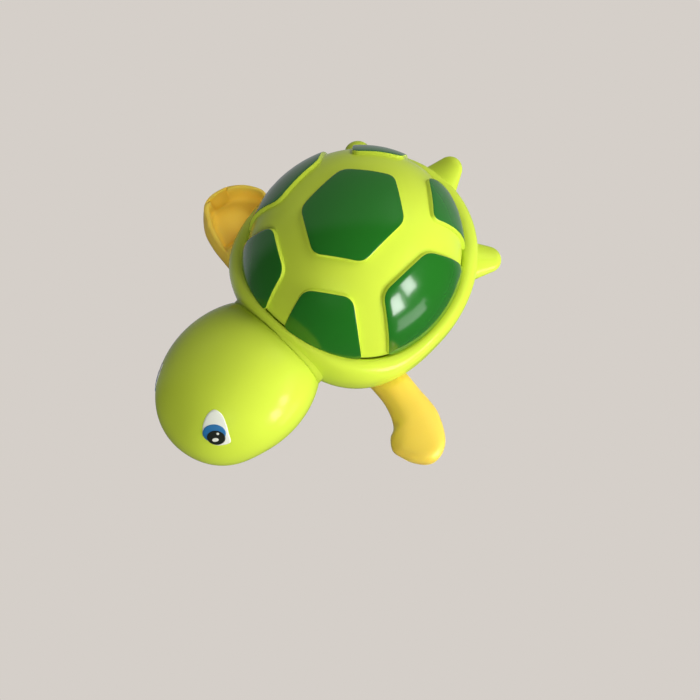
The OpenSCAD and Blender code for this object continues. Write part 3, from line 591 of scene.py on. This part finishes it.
def edge_angle(way, raised=0.0):
    """Angle from the top down to the cover's edge, or a height above it, in one direction."""
    low, high = EDGE_RANGE
    for _ in range(SEARCH_ROUNDS):
        mid = (low + high) / 2
        p = dome_point(np.asarray(way) * mid, np.array(0.0))
        trim = lip_z(p[1]) - LEDGE_DROP + SEAT_GAP + raised
        low, high = (mid, high) if p[2] > trim else (low, mid)
    return low


def rounded(corners, radius):
    """A closed outline with its corners rounded."""
    out = []
    n = len(corners)
    for i in range(n):
        before, here, after = corners[i - 1], corners[i], corners[(i + 1) % n]
        a, b = before - here, after - here
        la, lb = np.linalg.norm(a), np.linalg.norm(b)
        cut = min(radius, la / 2, lb / 2)
        start, end = here + a / la * cut, here + b / lb * cut
        for k in np.linspace(0.0, 1.0, CORNER_POINTS):
            out.append((1 - k) ** 2 * start + 2 * k * (1 - k) * here + k ** 2 * end)
    return np.array(out)


def resampled(line, count):
    """A closed line with evenly spread points."""
    line = np.vstack([line, line[:1]])
    run = np.concatenate([[0.0], np.cumsum(np.linalg.norm(np.diff(line, axis=0), axis=1))])
    stops = np.linspace(0.0, run[-1], count, endpoint=False)
    return np.stack([np.interp(stops, run, line[:, k]) for k in (0, 1)], axis=1)


def run_to_edge(inner, outer):
    """Follows a side edge outwards to the cover's edge."""
    step = outer - inner
    low, high = RUN_RANGE
    for _ in range(SEARCH_ROUNDS):
        mid = (low + high) / 2
        q = inner + step * mid
        a = np.linalg.norm(q)
        low, high = (mid, high) if a < edge_angle(q / a, SCUTE_RAISE) else (low, mid)
    return inner + step * low


def area(line):
    """Signed area of a closed line."""
    x, y = line[:, 0], line[:, 1]
    return 0.5 * np.sum(x * np.roll(y, -1) - y * np.roll(x, -1))


def inset_line(line, distance):
    """A closed line moved inwards by a distance in millimetres on the dome."""
    _, radii = dome_parts()
    along = np.roll(line, -1, axis=0) - np.roll(line, 1, axis=0)
    along /= np.linalg.norm(along, axis=1)[:, None]
    inward = np.stack([-along[:, 1], along[:, 0]], axis=1)
    return line + inward * distance / radii.mean()


def scute_outlines():
    """Outlines of the seven scutes, as angles laid out flat."""
    s = values("turtle_shell")
    _, radii = dome_parts()
    radius = 2 * s.scute_round / radii.mean()
    out = [rounded(flat(CROWN), radius)]
    for corners in OPEN_SCUTES.values():
        q = flat(corners)
        first, last = run_to_edge(q[1], q[0]), run_to_edge(q[-2], q[-1])
        a0, a1 = math.atan2(last[1], last[0]), math.atan2(first[1], first[0])
        if a0 - a1 > math.pi:
            a0 -= TURN
        if a1 - a0 > math.pi:
            a1 -= TURN
        bottom = []
        for a in np.linspace(a0, a1, BOTTOM_POINTS)[1:-1]:
            way = np.array([math.cos(a), math.sin(a)])
            bottom.append(way * edge_angle(way, SCUTE_RAISE))
        line = np.array([first, *q[1:-1], last, *bottom])
        left = rounded(line, radius)
        out.append(left)
        out.append((left * (-1, 1))[::-1])
    lines = [resampled(line, OUTLINE_POINTS) for line in out]
    lines = [line if area(line) > 0 else line[::-1] for line in lines]
    spreads = (s.scute_spread,) * 4 + (s.rear_spread,) * 2
    return lines[:1] + [inset_line(line, -spread) for line, spread in zip(lines[1:], spreads)]


def scute_rows(line, rise, fillet):
    """Rows of one scute from its foot to near its middle."""
    rows = [dome_point(inset_line(line, -WALL_FOOT), np.full(len(line), -WALL_FOOT)),
            dome_point(inset_line(line, -WALL_FOOT / 2), np.full(len(line), rise * FOOT_RISE_SHARE))]
    for a in np.linspace(0.0, math.pi / 2, FILLET_ROWS):
        inset = inset_line(line, fillet * (1 - math.cos(a)))
        rows.append(dome_point(inset, np.full(len(line), rise - fillet + fillet * math.sin(a))))
    top = inset_line(line, fillet)
    middle = top.mean(axis=0)
    for part in TOP_SHARES:
        rows.append(dome_point(middle + (top - middle) * part, np.full(len(line), rise)))
    return rows


class TURTLE_OT_cover(bpy.types.Operator):
    """Builds the dome with its raised scutes"""

    bl_idname = "turtle.cover"
    bl_label = "Cover"

    def execute(self, context):
        s = values("turtle_shell")
        builder = Builder()
        t = np.linspace(0.0, TURN, DOME_POINTS, endpoint=False)
        ways = np.stack([np.cos(t), np.sin(t)], axis=1)
        ends = np.array([edge_angle(way) for way in ways])
        rows = [dome_point(ways * ends[:, None], np.full(len(t), -COVER_SKIRT))]
        for k in np.linspace(1.0, DOME_TOP_SHARE, DOME_ROWS):
            rows.append(dome_point(ways * (ends * k)[:, None], np.zeros(len(t))))
        builder.grid(rows, end_cap=True)
        for line in scute_outlines():
            builder.grid(scute_rows(line, s.scute_rise, s.scute_fillet), end_cap=True)
        place(builder.build("cover_skin"), "toy", ["carapace_cover"], lime_plastic())
        return {"FINISHED"}


class TURTLE_OT_paint(bpy.types.Operator):
    """Builds the paint on the scutes"""

    bl_idname = "turtle.paint"
    bl_label = "Scute paint"

    def execute(self, context):
        s = values("turtle_shell")
        look = values("turtle_look")
        builder = Builder()
        for line in scute_outlines():
            n = len(line)
            rise = s.scute_rise + s.paint_thick
            foot = s.scute_rise - s.scute_fillet * PAINT_FOOT_SHARE
            bend = s.scute_rise - s.scute_fillet * PAINT_BEND_SHARE + s.paint_thick / 2
            edge = inset_line(line, s.scute_fillet * PAINT_EDGE_SHARE)
            top = inset_line(line, s.scute_fillet + PAINT_INSET)
            middle = top.mean(axis=0)
            rows = [dome_point(edge, np.full(n, foot)),
                    dome_point(edge, np.full(n, bend)),
                    dome_point(top, np.full(n, rise))]
            for part in TOP_SHARES:
                rows.append(dome_point(middle + (top - middle) * part, np.full(n, rise)))
            builder.grid(rows, end_cap=True)
        material = finish("green paint", look.green, **PAINT_GLOSS)
        place(builder.build("paint_tops"), "toy", ["scute_paint"], material)
        return {"FINISHED"}


# Head and eyes

RAY_AHEAD = 19.0
RAY_DROP = 2.2
HEAD_POINTS = 160
HEAD_ROWS = 110
HEAD_FIRST_ANGLE = 0.02
HEAD_SWEEP = 2.6
LEAST_REARWARD = 0.05
UNBOUNDED = 1e9
PRINT_SHARES = (1.0, 0.9, 0.7, 0.45, 0.2)
OVAL_POINTS = 64
LOOP_STEPS = 8
# Edge of the white in millimetres about the eye's middle, across and up, anticlockwise from its top.
WHITE_EDGE = [(2.4, 6.7), (0.3, 6.0), (-1.5, 4.0), (-2.6, 1.6), (-2.5, -0.8), (-1.2, -2.9),
              (1.0, -3.6), (3.3, -3.3), (3.8, -0.6), (4.1, 2.2), (3.9, 5.0)]


def head_parts():
    """Ray start and the two ellipsoids of the head."""
    h = values("turtle_head")
    start = np.array([0.0, -h.neck_face - RAY_AHEAD, h.neck_height - RAY_DROP])
    cranium = np.array([0.0, -h.neck_face - h.cranium_ahead, h.neck_height])
    muzzle = np.array([0.0, -h.neck_face - h.muzzle_ahead, h.neck_height - h.muzzle_drop])
    return start, (
        (cranium, np.array([h.cranium_width, h.cranium_length, h.cranium_height])),
        (muzzle, np.array([h.muzzle_width, h.muzzle_length, h.muzzle_height])))


def head_length(ways):
    """Distance from the ray start to the head's surface."""
    h = values("turtle_head")
    start, parts = head_parts()
    total = 0.0
    for middle, radii in parts:
        q, e = ways / radii, (middle - start) / radii
        a, b, c = np.sum(q * q, axis=-1), np.sum(q * e, axis=-1), np.sum(e * e) - 1
        total = total + ((b + np.sqrt(b * b - a * c)) / a) ** h.blend_power
    return total ** (1 / h.blend_power)


def head_point(ways, lift):
    """Points on the head, raised along their rays, after its turn."""
    start, _ = head_parts()
    return roll(start + ways * (head_length(ways) + lift)[..., None])


class TURTLE_OT_head(bpy.types.Operator):
    """Builds the head"""

    bl_idname = "turtle.head"
    bl_label = "Head"

    def execute(self, context):
        h = values("turtle_head")
        start, _ = head_parts()
        t = np.linspace(0.0, TURN, HEAD_POINTS, endpoint=False)
        rows = []
        for k in np.linspace(0.0, 1.0, HEAD_ROWS):
            a = np.full(len(t), HEAD_FIRST_ANGLE + k * HEAD_SWEEP)
            ways = np.stack([np.sin(a) * np.cos(t), -np.cos(a), np.sin(a) * np.sin(t)], axis=1)
            length = head_length(ways)
            rearward = np.maximum(ways[:, 1], LEAST_REARWARD)
            to_neck = (-h.neck_face - start[1]) / rearward
            reach = np.where(ways[:, 1] > LEAST_REARWARD, to_neck, UNBOUNDED)
            rows.append(roll(start + ways * np.minimum(length, reach)[:, None]))
        builder = Builder()
        builder.grid(rows[::-1], end_cap=True)
        place(builder.build("head_skin"), "toy", ["head_shell"], lime_plastic())
        return {"FINISHED"}


def eye_axes():
    """Ray to the left eye and the directions across and up from it."""
    h = values("turtle_head")
    start, _ = head_parts()
    ray = np.array([h.eye_side, -h.neck_face - h.eye_ahead, h.neck_height + h.eye_up]) - start
    ray /= np.linalg.norm(ray)
    across = np.cross((0.0, 0.0, 1.0), ray)
    across /= np.linalg.norm(across)
    return ray, across, np.cross(ray, across)


def eye_patch(builder, outline, rise, side):
    """A printed patch on the head from an outline in millimetres about the eye's middle."""
    ray, across, up = eye_axes()
    far = head_length(ray[None])[0]
    drop = values("turtle_head").far_eye_drop if side < 0 else 0.0
    middle = outline.mean(axis=0)
    rows = []
    for part, lift in ((1.0, 0.0), *((part, rise) for part in PRINT_SHARES)):
        spots = middle + (outline - middle) * part - (0.0, drop)
        ways = ray * far + spots[:, :1] * across + spots[:, 1:] * up
        ways /= np.linalg.norm(ways, axis=1)[:, None]
        ways[:, 0] *= side
        rows.append(head_point(ways, np.full(len(spots), lift)))
    builder.grid(rows, end_cap=True, flip=side < 0)


def oval(middle, wide, high):
    """A closed oval about a point of the eye."""
    t = np.linspace(0.0, TURN, OVAL_POINTS, endpoint=False)
    return np.array(middle) + np.stack([wide * np.cos(t), high * np.sin(t)], axis=1)


def curve_through(points, steps):
    """A smooth curve from the second of the points to the last but one, through those between."""
    out = []
    for p0, p1, p2, p3 in zip(points, points[1:], points[2:], points[3:]):
        for k in np.arange(steps) / steps:
            out.append(0.5 * (2 * p1 + (p2 - p0) * k + (2 * p0 - 5 * p1 + 4 * p2 - p3) * k ** 2
                              + (3 * p1 - p0 - 3 * p2 + p3) * k ** 3))
    return np.array(out + [points[-2]])


def smooth_loop(points):
    """A closed smooth curve through points."""
    points = np.array(points, float)
    return curve_through(np.vstack([points[-1:], points, points[:2]]), LOOP_STEPS)[:-1]


class TURTLE_OT_eyes(bpy.types.Operator):
    """Builds the printed eyes"""

    bl_idname = "turtle.eyes"
    bl_label = "Eyes"

    def execute(self, context):
        h = values("turtle_head")
        look = values("turtle_look")
        layers = (
            ("white_prints", "eye_white", ["eye_whites"], look.white, [smooth_loop(WHITE_EDGE)]),
            ("iris_prints", "eye_blue", ["eye_irises"], look.blue,
             [oval(h.iris_place, h.iris_wide, h.iris_high)]),
            ("pupil_prints", "eye_black", ["eye_pupils"], look.black,
             [oval(h.pupil_place, h.pupil_wide, h.pupil_high)]),
            ("glint_prints", "eye_white", [], look.white,
             [oval(h.glint_place, h.glint_wide, h.glint_high), oval(h.spark_place, h.spark_r, h.spark_r)]))
        for level, (name, slot, nodes, tint, outlines) in enumerate(layers, start=1):
            builder = Builder()
            for outline in outlines:
                for side in (1, -1):
                    eye_patch(builder, outline, h.print_thick * level, side)
            place(builder.build(name), "toy", nodes, finish(name, tint, **PRINT_GLOSS))
        return {"FINISHED"}


# Motor, shaft and screws

STEEL_NODES = ("paddle_shaft", "idler_pin", "spring_arbor", "mainspring", "case_screws", "mount_screws",
               "belly_screws", "head_screws")
CASE_NODES = ("gearbox_base", "gearbox_cover")
NYLON_NODES = ("shaft_pinion", "idler_gear", "spring_gear")


class TURTLE_OT_motor(bpy.types.Operator):
    """Gives the motor, the shaft and the screws their finishes"""

    bl_idname = "turtle.motor"
    bl_label = "Motor"

    def execute(self, context):
        look = values("turtle_look")
        finishes = (
            (STEEL_NODES, finish("bright steel", look.steel, **STEEL_SHINE)),
            (CASE_NODES, finish("case plastic", look.case, **CASE_SATIN)),
            (NYLON_NODES, finish("gear nylon", look.nylon, **NYLON_SATIN)))
        for nodes, material in finishes:
            for node in nodes:
                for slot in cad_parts[node].material_slots:
                    slot.material = material
        return {"FINISHED"}


# Flippers

# Edges of the left and the right flipper from root to tip, in millimetres out from the toy's middle
# and off the shaft's line.
FRONT_EDGES = (
    ((25.4, -6.0), (28.4, -6.2), (32.9, -6.9), (37.1, -8.5), (40.0, -10.6), (41.2, -13.2), (44.1, -15.4),
     (47.5, -14.9), (50.3, -13.8), (53.5, -11.4), (54.9, -8.7)),
    ((26.4, -6.3), (31.0, -6.6), (35.2, -7.2), (36.8, -9.9), (37.2, -13.5), (37.9, -16.4), (40.6, -16.9),
     (44.2, -15.3), (47.1, -12.8), (49.5, -9.2), (50.6, -4.8)))
REAR_EDGES = (
    ((28.4, 4.4), (33.2, 3.7), (38.3, 2.9), (42.0, 2.5), (45.8, 1.7), (49.9, -0.5), (53.0, -3.1),
     (54.6, -5.9), (54.9, -8.7)),
    ((28.4, 8.7), (32.8, 8.1), (38.6, 7.2), (44.0, 5.4), (48.4, 2.0), (50.2, -1.2), (50.6, -4.8)))
EDGE_STEPS = 12
EDGE_STATIONS = 110
LAST_SHARE = 0.995
TIP_ROUND = 4.0
TIP_RUN = 10.0
TUCK_RUN = 6.0
TIP_POWER = 3.0
ROOT_SHARE = 0.86
RAMP_START = 4.2
RAMP_END = 9.5
FLOOR_BULGE = 0.3
FLOOR_POWER = 0.4
TUCK_POWER = 1.5
END_SLOPE = 0.9
LEAST_SHARE = 1e-6
BACK_POINTS = 36
SIDE_POINTS = 8
FLOOR_POINTS = 32


def smooth_step(value, start, end):
    """An even rise from 0 at the start to 1 at the end."""
    part = min(1.0, max(0.0, (value - start) / (end - start)))
    return part ** 2 * (3 - 2 * part)


def round_end(far, reach, power=2.0):
    """Share of the width that is left at a distance from the widest line."""
    return max(0.0, 1 - min(1.0, abs(far) / reach) ** power) ** (1 / power)


def spaced(line, shares):
    """Points of a line at shares of its length."""
    run = np.concatenate([[0.0], np.cumsum(np.linalg.norm(np.diff(line, axis=0), axis=1))])
    return np.stack([np.interp(shares * run[-1], run, line[:, k]) for k in (0, 1)], axis=1)


def flipper_edges(k):
    """Points of the front and the rear edge of a flipper, pairwise from root to tip."""
    front, rear = np.array(FRONT_EDGES[k]), np.array(REAR_EDGES[k])
    corners = np.vstack([front, rear[-2::-1]])
    padded = np.vstack([2 * corners[:1] - corners[1:2], corners, 2 * corners[-1:] - corners[-2:-1]])
    line = curve_through(padded, EDGE_STEPS)
    tip = (len(front) - 1) * EDGE_STEPS
    shares = np.sin(np.linspace(0.0, LAST_SHARE, EDGE_STATIONS) * math.pi / 2)
    return spaced(line[:tip + 1], shares), spaced(line[tip:][::-1], shares)


def flipper_ring(front, rear, tip, k):
    """Section of a flipper between two points of its edges, its hollow facing down."""
    f = values("turtle_flipper")
    middle, wide = (front + rear) / 2, np.linalg.norm(rear - front) / 2
    way = (rear - front) / (2 * wide)
    gap = np.linalg.norm(tip - middle)
    out = middle[0] - f.root
    full = round_end(max(0.0, TIP_ROUND - gap), TIP_ROUND, TIP_POWER)
    ramp = min(1.0, max(0.0, out) / RAMP_START)
    high = f.back_height[k] * (ROOT_SHARE + (1 - ROOT_SHARE) * ramp) * full
    rim = f.open_height
    t = np.linspace(0.0, math.pi, BACK_POINTS)
    back = np.stack([wide * signed_power(np.cos(t), 2 / f.power),
                     high * signed_power(np.sin(t), 2 / f.power)], axis=1)
    down = np.linspace(0.0, 1.0, SIDE_POINTS)[1:]
    near = min(1.0, gap / TUCK_RUN)
    rear_rim = wide - f.rear_tuck[k] * near
    front_rim = wide - f.front_tuck[k] * near
    rear_wall = np.stack([wide + (rear_rim - wide) * down ** TUCK_POWER, -rim * down], axis=1)[::-1]
    front_wall = np.stack([-wide - (front_rim - wide) * down ** TUCK_POWER, -rim * down], axis=1)
    open_middle, open_wide = (rear_rim - front_rim) / 2, max(0.0, (rear_rim + front_rim) / 2)
    far = max(0.0, TIP_RUN - gap)
    inner_share = round_end(far, TIP_RUN - f.wall) / max(round_end(far, TIP_RUN), LEAST_SHARE)
    inner = max(0.0, open_wide - f.wall) * inner_share
    deep = smooth_step(out, RAMP_START, RAMP_END) * smooth_step(gap, f.wall, f.wall + END_SLOPE)
    u = np.linspace(-1.0, 1.0, FLOOR_POINTS)
    closed = np.stack([open_middle + u * open_wide, -rim - FLOOR_BULGE * full * (1 - u ** 2)], axis=1)
    s = np.linspace(0.0, math.pi, FLOOR_POINTS)
    depth = max(0.0, high - f.wall) + rim
    hollow = np.stack([open_middle - inner * signed_power(np.cos(s), FLOOR_POWER),
                       -rim + depth * signed_power(np.sin(s), FLOOR_POWER)], axis=1)
    floor = closed * (1 - deep) + hollow * deep
    ring = np.vstack([rear_wall, back, front_wall, floor])
    return np.column_stack([middle + ring[:, :1] * way, ring[:, 1]])


def flipper_rows(k):
    """Rows of a flipper about the shaft's line from root to tip."""
    tip = np.array(FRONT_EDGES[k][-1])
    return np.array([flipper_ring(front, rear, tip, k) for front, rear in zip(*flipper_edges(k))])


class TURTLE_OT_flippers(bpy.types.Operator):
    """Builds the two scooped flippers"""

    bl_idname = "turtle.flippers"
    bl_label = "Flippers"

    def execute(self, context):
        f = values("turtle_flipper")
        look = values("turtle_look")
        material = finish("yellow plastic", look.yellow, **YELLOW_SATIN)
        line = np.array([0.0, -f.shaft_ahead, f.shaft_height])
        sides = (("paddle_left", "left_flipper", 1), ("paddle_right", "right_flipper", -1))
        for k, (name, node, side) in enumerate(sides):
            builder = Builder()
            rows = flipper_rows(k) * side + line
            builder.grid(rows, start_cap=True, end_cap=True, flip=side < 0)
            place(builder.build(name), "paddles", [node], material)
        return {"FINISHED"}


# Stage

CAMERA_EYE = (54.855, -60.559, 205.009)
CAMERA_AZIMUTH = 43.274
CAMERA_ELEVATION = 73.296
CAMERA_LENS = 35.361
SENSOR_WIDTH = 36.0
CLIP_START = 5.0
GROUND_REACH = 3000.0
GROUND_DROP = 0.05
# The pale wall stands straight across from the camera.
WALL_SIDE = (-0.686, 0.728, 0.0)
WALL_EDGE_SHARES = (0.12, 0.30)
DARK_TONE = (0.10, 0.10, 0.10, 1.0)
WALL_TONE = (0.36, 0.37, 0.38, 1.0)
AIM = (0.0, -10.0, 25.0)
LAMP_DISTANCE = 500.0
# Name, azimuth and elevation in degrees, width and height in millimetres, power in watts, and whether
# the lamp is only mirrored in glossy faces (True) or only lights the toy (False).
LAMPS = (
    ("right_low", 0.0, 5.0, 220.0, 220.0, 1.75, False),
    ("right_rear", 30.0, 22.0, 220.0, 220.0, 1.20, False),
    ("rear_high", 80.0, 42.0, 220.0, 220.0, 1.35, False),
    ("front_high", 298.0, 36.0, 220.0, 220.0, 1.15, False),
    ("left_low", 180.0, 22.0, 220.0, 220.0, 0.28, False),
    ("pane_rear", 12.0, 14.0, 90.0, 135.0, 0.60, True),
    ("pane_front", -3.0, 7.0, 90.0, 160.0, 0.75, True),
    ("table_glare", 6.0, -18.0, 200.0, 130.0, 0.20, True),
)


def area_light(name, azimuth, elevation, wide, high, power, mirrored):
    """A rectangular lamp aimed at the toy."""
    lamp = bpy.data.lights.new(name, "AREA")
    lamp.shape = "RECTANGLE"
    lamp.size, lamp.size_y = wide * MM, high * MM
    lamp.energy = power
    obj = bpy.data.objects.new(name, lamp)
    bpy.context.scene.collection.objects.link(obj)
    obj.visible_camera = False
    obj.visible_glossy = mirrored
    obj.visible_diffuse = not mirrored
    az, el = math.radians(azimuth), math.radians(elevation)
    back = np.array([math.cos(el) * math.cos(az), math.cos(el) * math.sin(az), math.sin(el)])
    right = np.array([-math.sin(az), math.cos(az), 0.0])
    up = np.cross(back, right)
    start = (np.array(AIM) + back * LAMP_DISTANCE) * MM
    obj.matrix_world = Matrix([[*row, p] for row, p in zip(np.stack([right, up, back], axis=1), start)]
                              + [[0.0, 0.0, 0.0, 1.0]])


class TURTLE_OT_stage(bpy.types.Operator):
    """Builds the ground, the lights and the camera"""

    bl_idname = "turtle.stage"
    bl_label = "Stage"

    def execute(self, context):
        scene = context.scene
        look = values("turtle_look")
        corners = [(x * GROUND_REACH, y * GROUND_REACH, -GROUND_DROP)
                   for x, y in ((-1, -1), (1, -1), (1, 1), (-1, 1))]
        ground = make_object("ground", corners, [(0, 1, 2, 3)])
        material = bpy.data.materials.new("ground")
        material.use_nodes = True
        nodes = material.node_tree.nodes
        nodes.remove(nodes["Principled BSDF"])
        glow = nodes.new("ShaderNodeEmission")
        glow.inputs["Color"].default_value = (*look.backdrop, 1.0)
        glow.inputs["Strength"].default_value = 1.0
        material.node_tree.links.new(glow.outputs[0], nodes["Material Output"].inputs["Surface"])
        ground.data.materials.append(material)
        ground.visible_diffuse = ground.visible_glossy = ground.visible_shadow = False
        self.room(scene)
        for lamp in LAMPS:
            area_light(*lamp)
        self.camera(scene)
        scene.view_settings.view_transform = "Standard"
        return {"FINISHED"}

    def room(self, scene):
        """A dark room with one pale wall, which only glossy faces mirror."""
        world = bpy.data.worlds.new("room")
        world.use_nodes = True
        nodes, links = world.node_tree.nodes, world.node_tree.links
        spot = nodes.new("ShaderNodeTexCoord")
        side = nodes.new("ShaderNodeVectorMath")
        side.operation = "DOT_PRODUCT"
        side.inputs[1].default_value = WALL_SIDE
        tones = nodes.new("ShaderNodeValToRGB")
        dark, wall = tones.color_ramp.elements
        dark.position, wall.position = WALL_EDGE_SHARES
        dark.color, wall.color = DARK_TONE, WALL_TONE
        links.new(spot.outputs["Generated"], side.inputs[0])
        links.new(side.outputs["Value"], tones.inputs[0])
        links.new(tones.outputs["Color"], nodes["Background"].inputs["Color"])
        world.cycles_visibility.diffuse = False
        scene.world = world

    def camera(self, scene):
        """Places the camera where the photograph was taken from."""
        lens = bpy.data.cameras.new("camera")
        lens.sensor_width = SENSOR_WIDTH
        lens.lens = CAMERA_LENS
        lens.clip_start = CLIP_START * MM
        lens.dof.use_dof = False
        camera = bpy.data.objects.new("camera", lens)
        scene.collection.objects.link(camera)
        az, el = math.radians(CAMERA_AZIMUTH), math.radians(CAMERA_ELEVATION)
        back = (math.sin(az) * math.cos(el), -math.cos(az) * math.cos(el), math.sin(el))
        right = (math.cos(az), math.sin(az), 0.0)
        up = (-math.sin(az) * math.sin(el), math.cos(az) * math.sin(el), math.cos(el))
        rows = [[right[k], up[k], back[k], CAMERA_EYE[k] * MM] for k in range(3)]
        camera.matrix_world = Matrix(rows + [[0.0, 0.0, 0.0, 1.0]])
        scene.camera = camera


PIECES = (TURTLE_OT_hull, TURTLE_OT_cover, TURTLE_OT_paint, TURTLE_OT_head, TURTLE_OT_eyes,
          TURTLE_OT_motor, TURTLE_OT_flippers, TURTLE_OT_stage)


class TURTLE_PT_panel(bpy.types.Panel):
    """Sizes, colours and building steps of the turtle"""

    bl_idname = "TURTLE_PT_panel"
    bl_label = "Swimming turtle"
    bl_space_type = "VIEW_3D"
    bl_region_type = "UI"
    bl_category = "Turtle"

    def draw(self, context):
        for piece in PIECES:
            self.layout.operator(piece.bl_idname)
        for name in GROUPS:
            group = getattr(context.scene, name)
            box = self.layout.box()
            for prop in group.__annotations__:
                box.prop(group, prop)


CLASSES = (*GROUPS.values(), *PIECES, TURTLE_PT_panel)


def register():
    """Registers the classes and hangs the sizes on the scene."""
    for item in CLASSES:
        bpy.utils.register_class(item)
    for name, group in GROUPS.items():
        setattr(bpy.types.Scene, name, bpy.props.PointerProperty(type=group))


def unregister():
    """Undoes register."""
    for name in GROUPS:
        delattr(bpy.types.Scene, name)
    for item in reversed(CLASSES):
        bpy.utils.unregister_class(item)


def main():
    """Builds the pieces in order."""
    register()
    for step in (bpy.ops.turtle.hull, bpy.ops.turtle.cover, bpy.ops.turtle.paint, bpy.ops.turtle.head,
                 bpy.ops.turtle.eyes, bpy.ops.turtle.motor, bpy.ops.turtle.flippers,
                 bpy.ops.turtle.stage):
        step()
    bpy.context.view_layer.update()


if __name__ == "__main__":
    main()
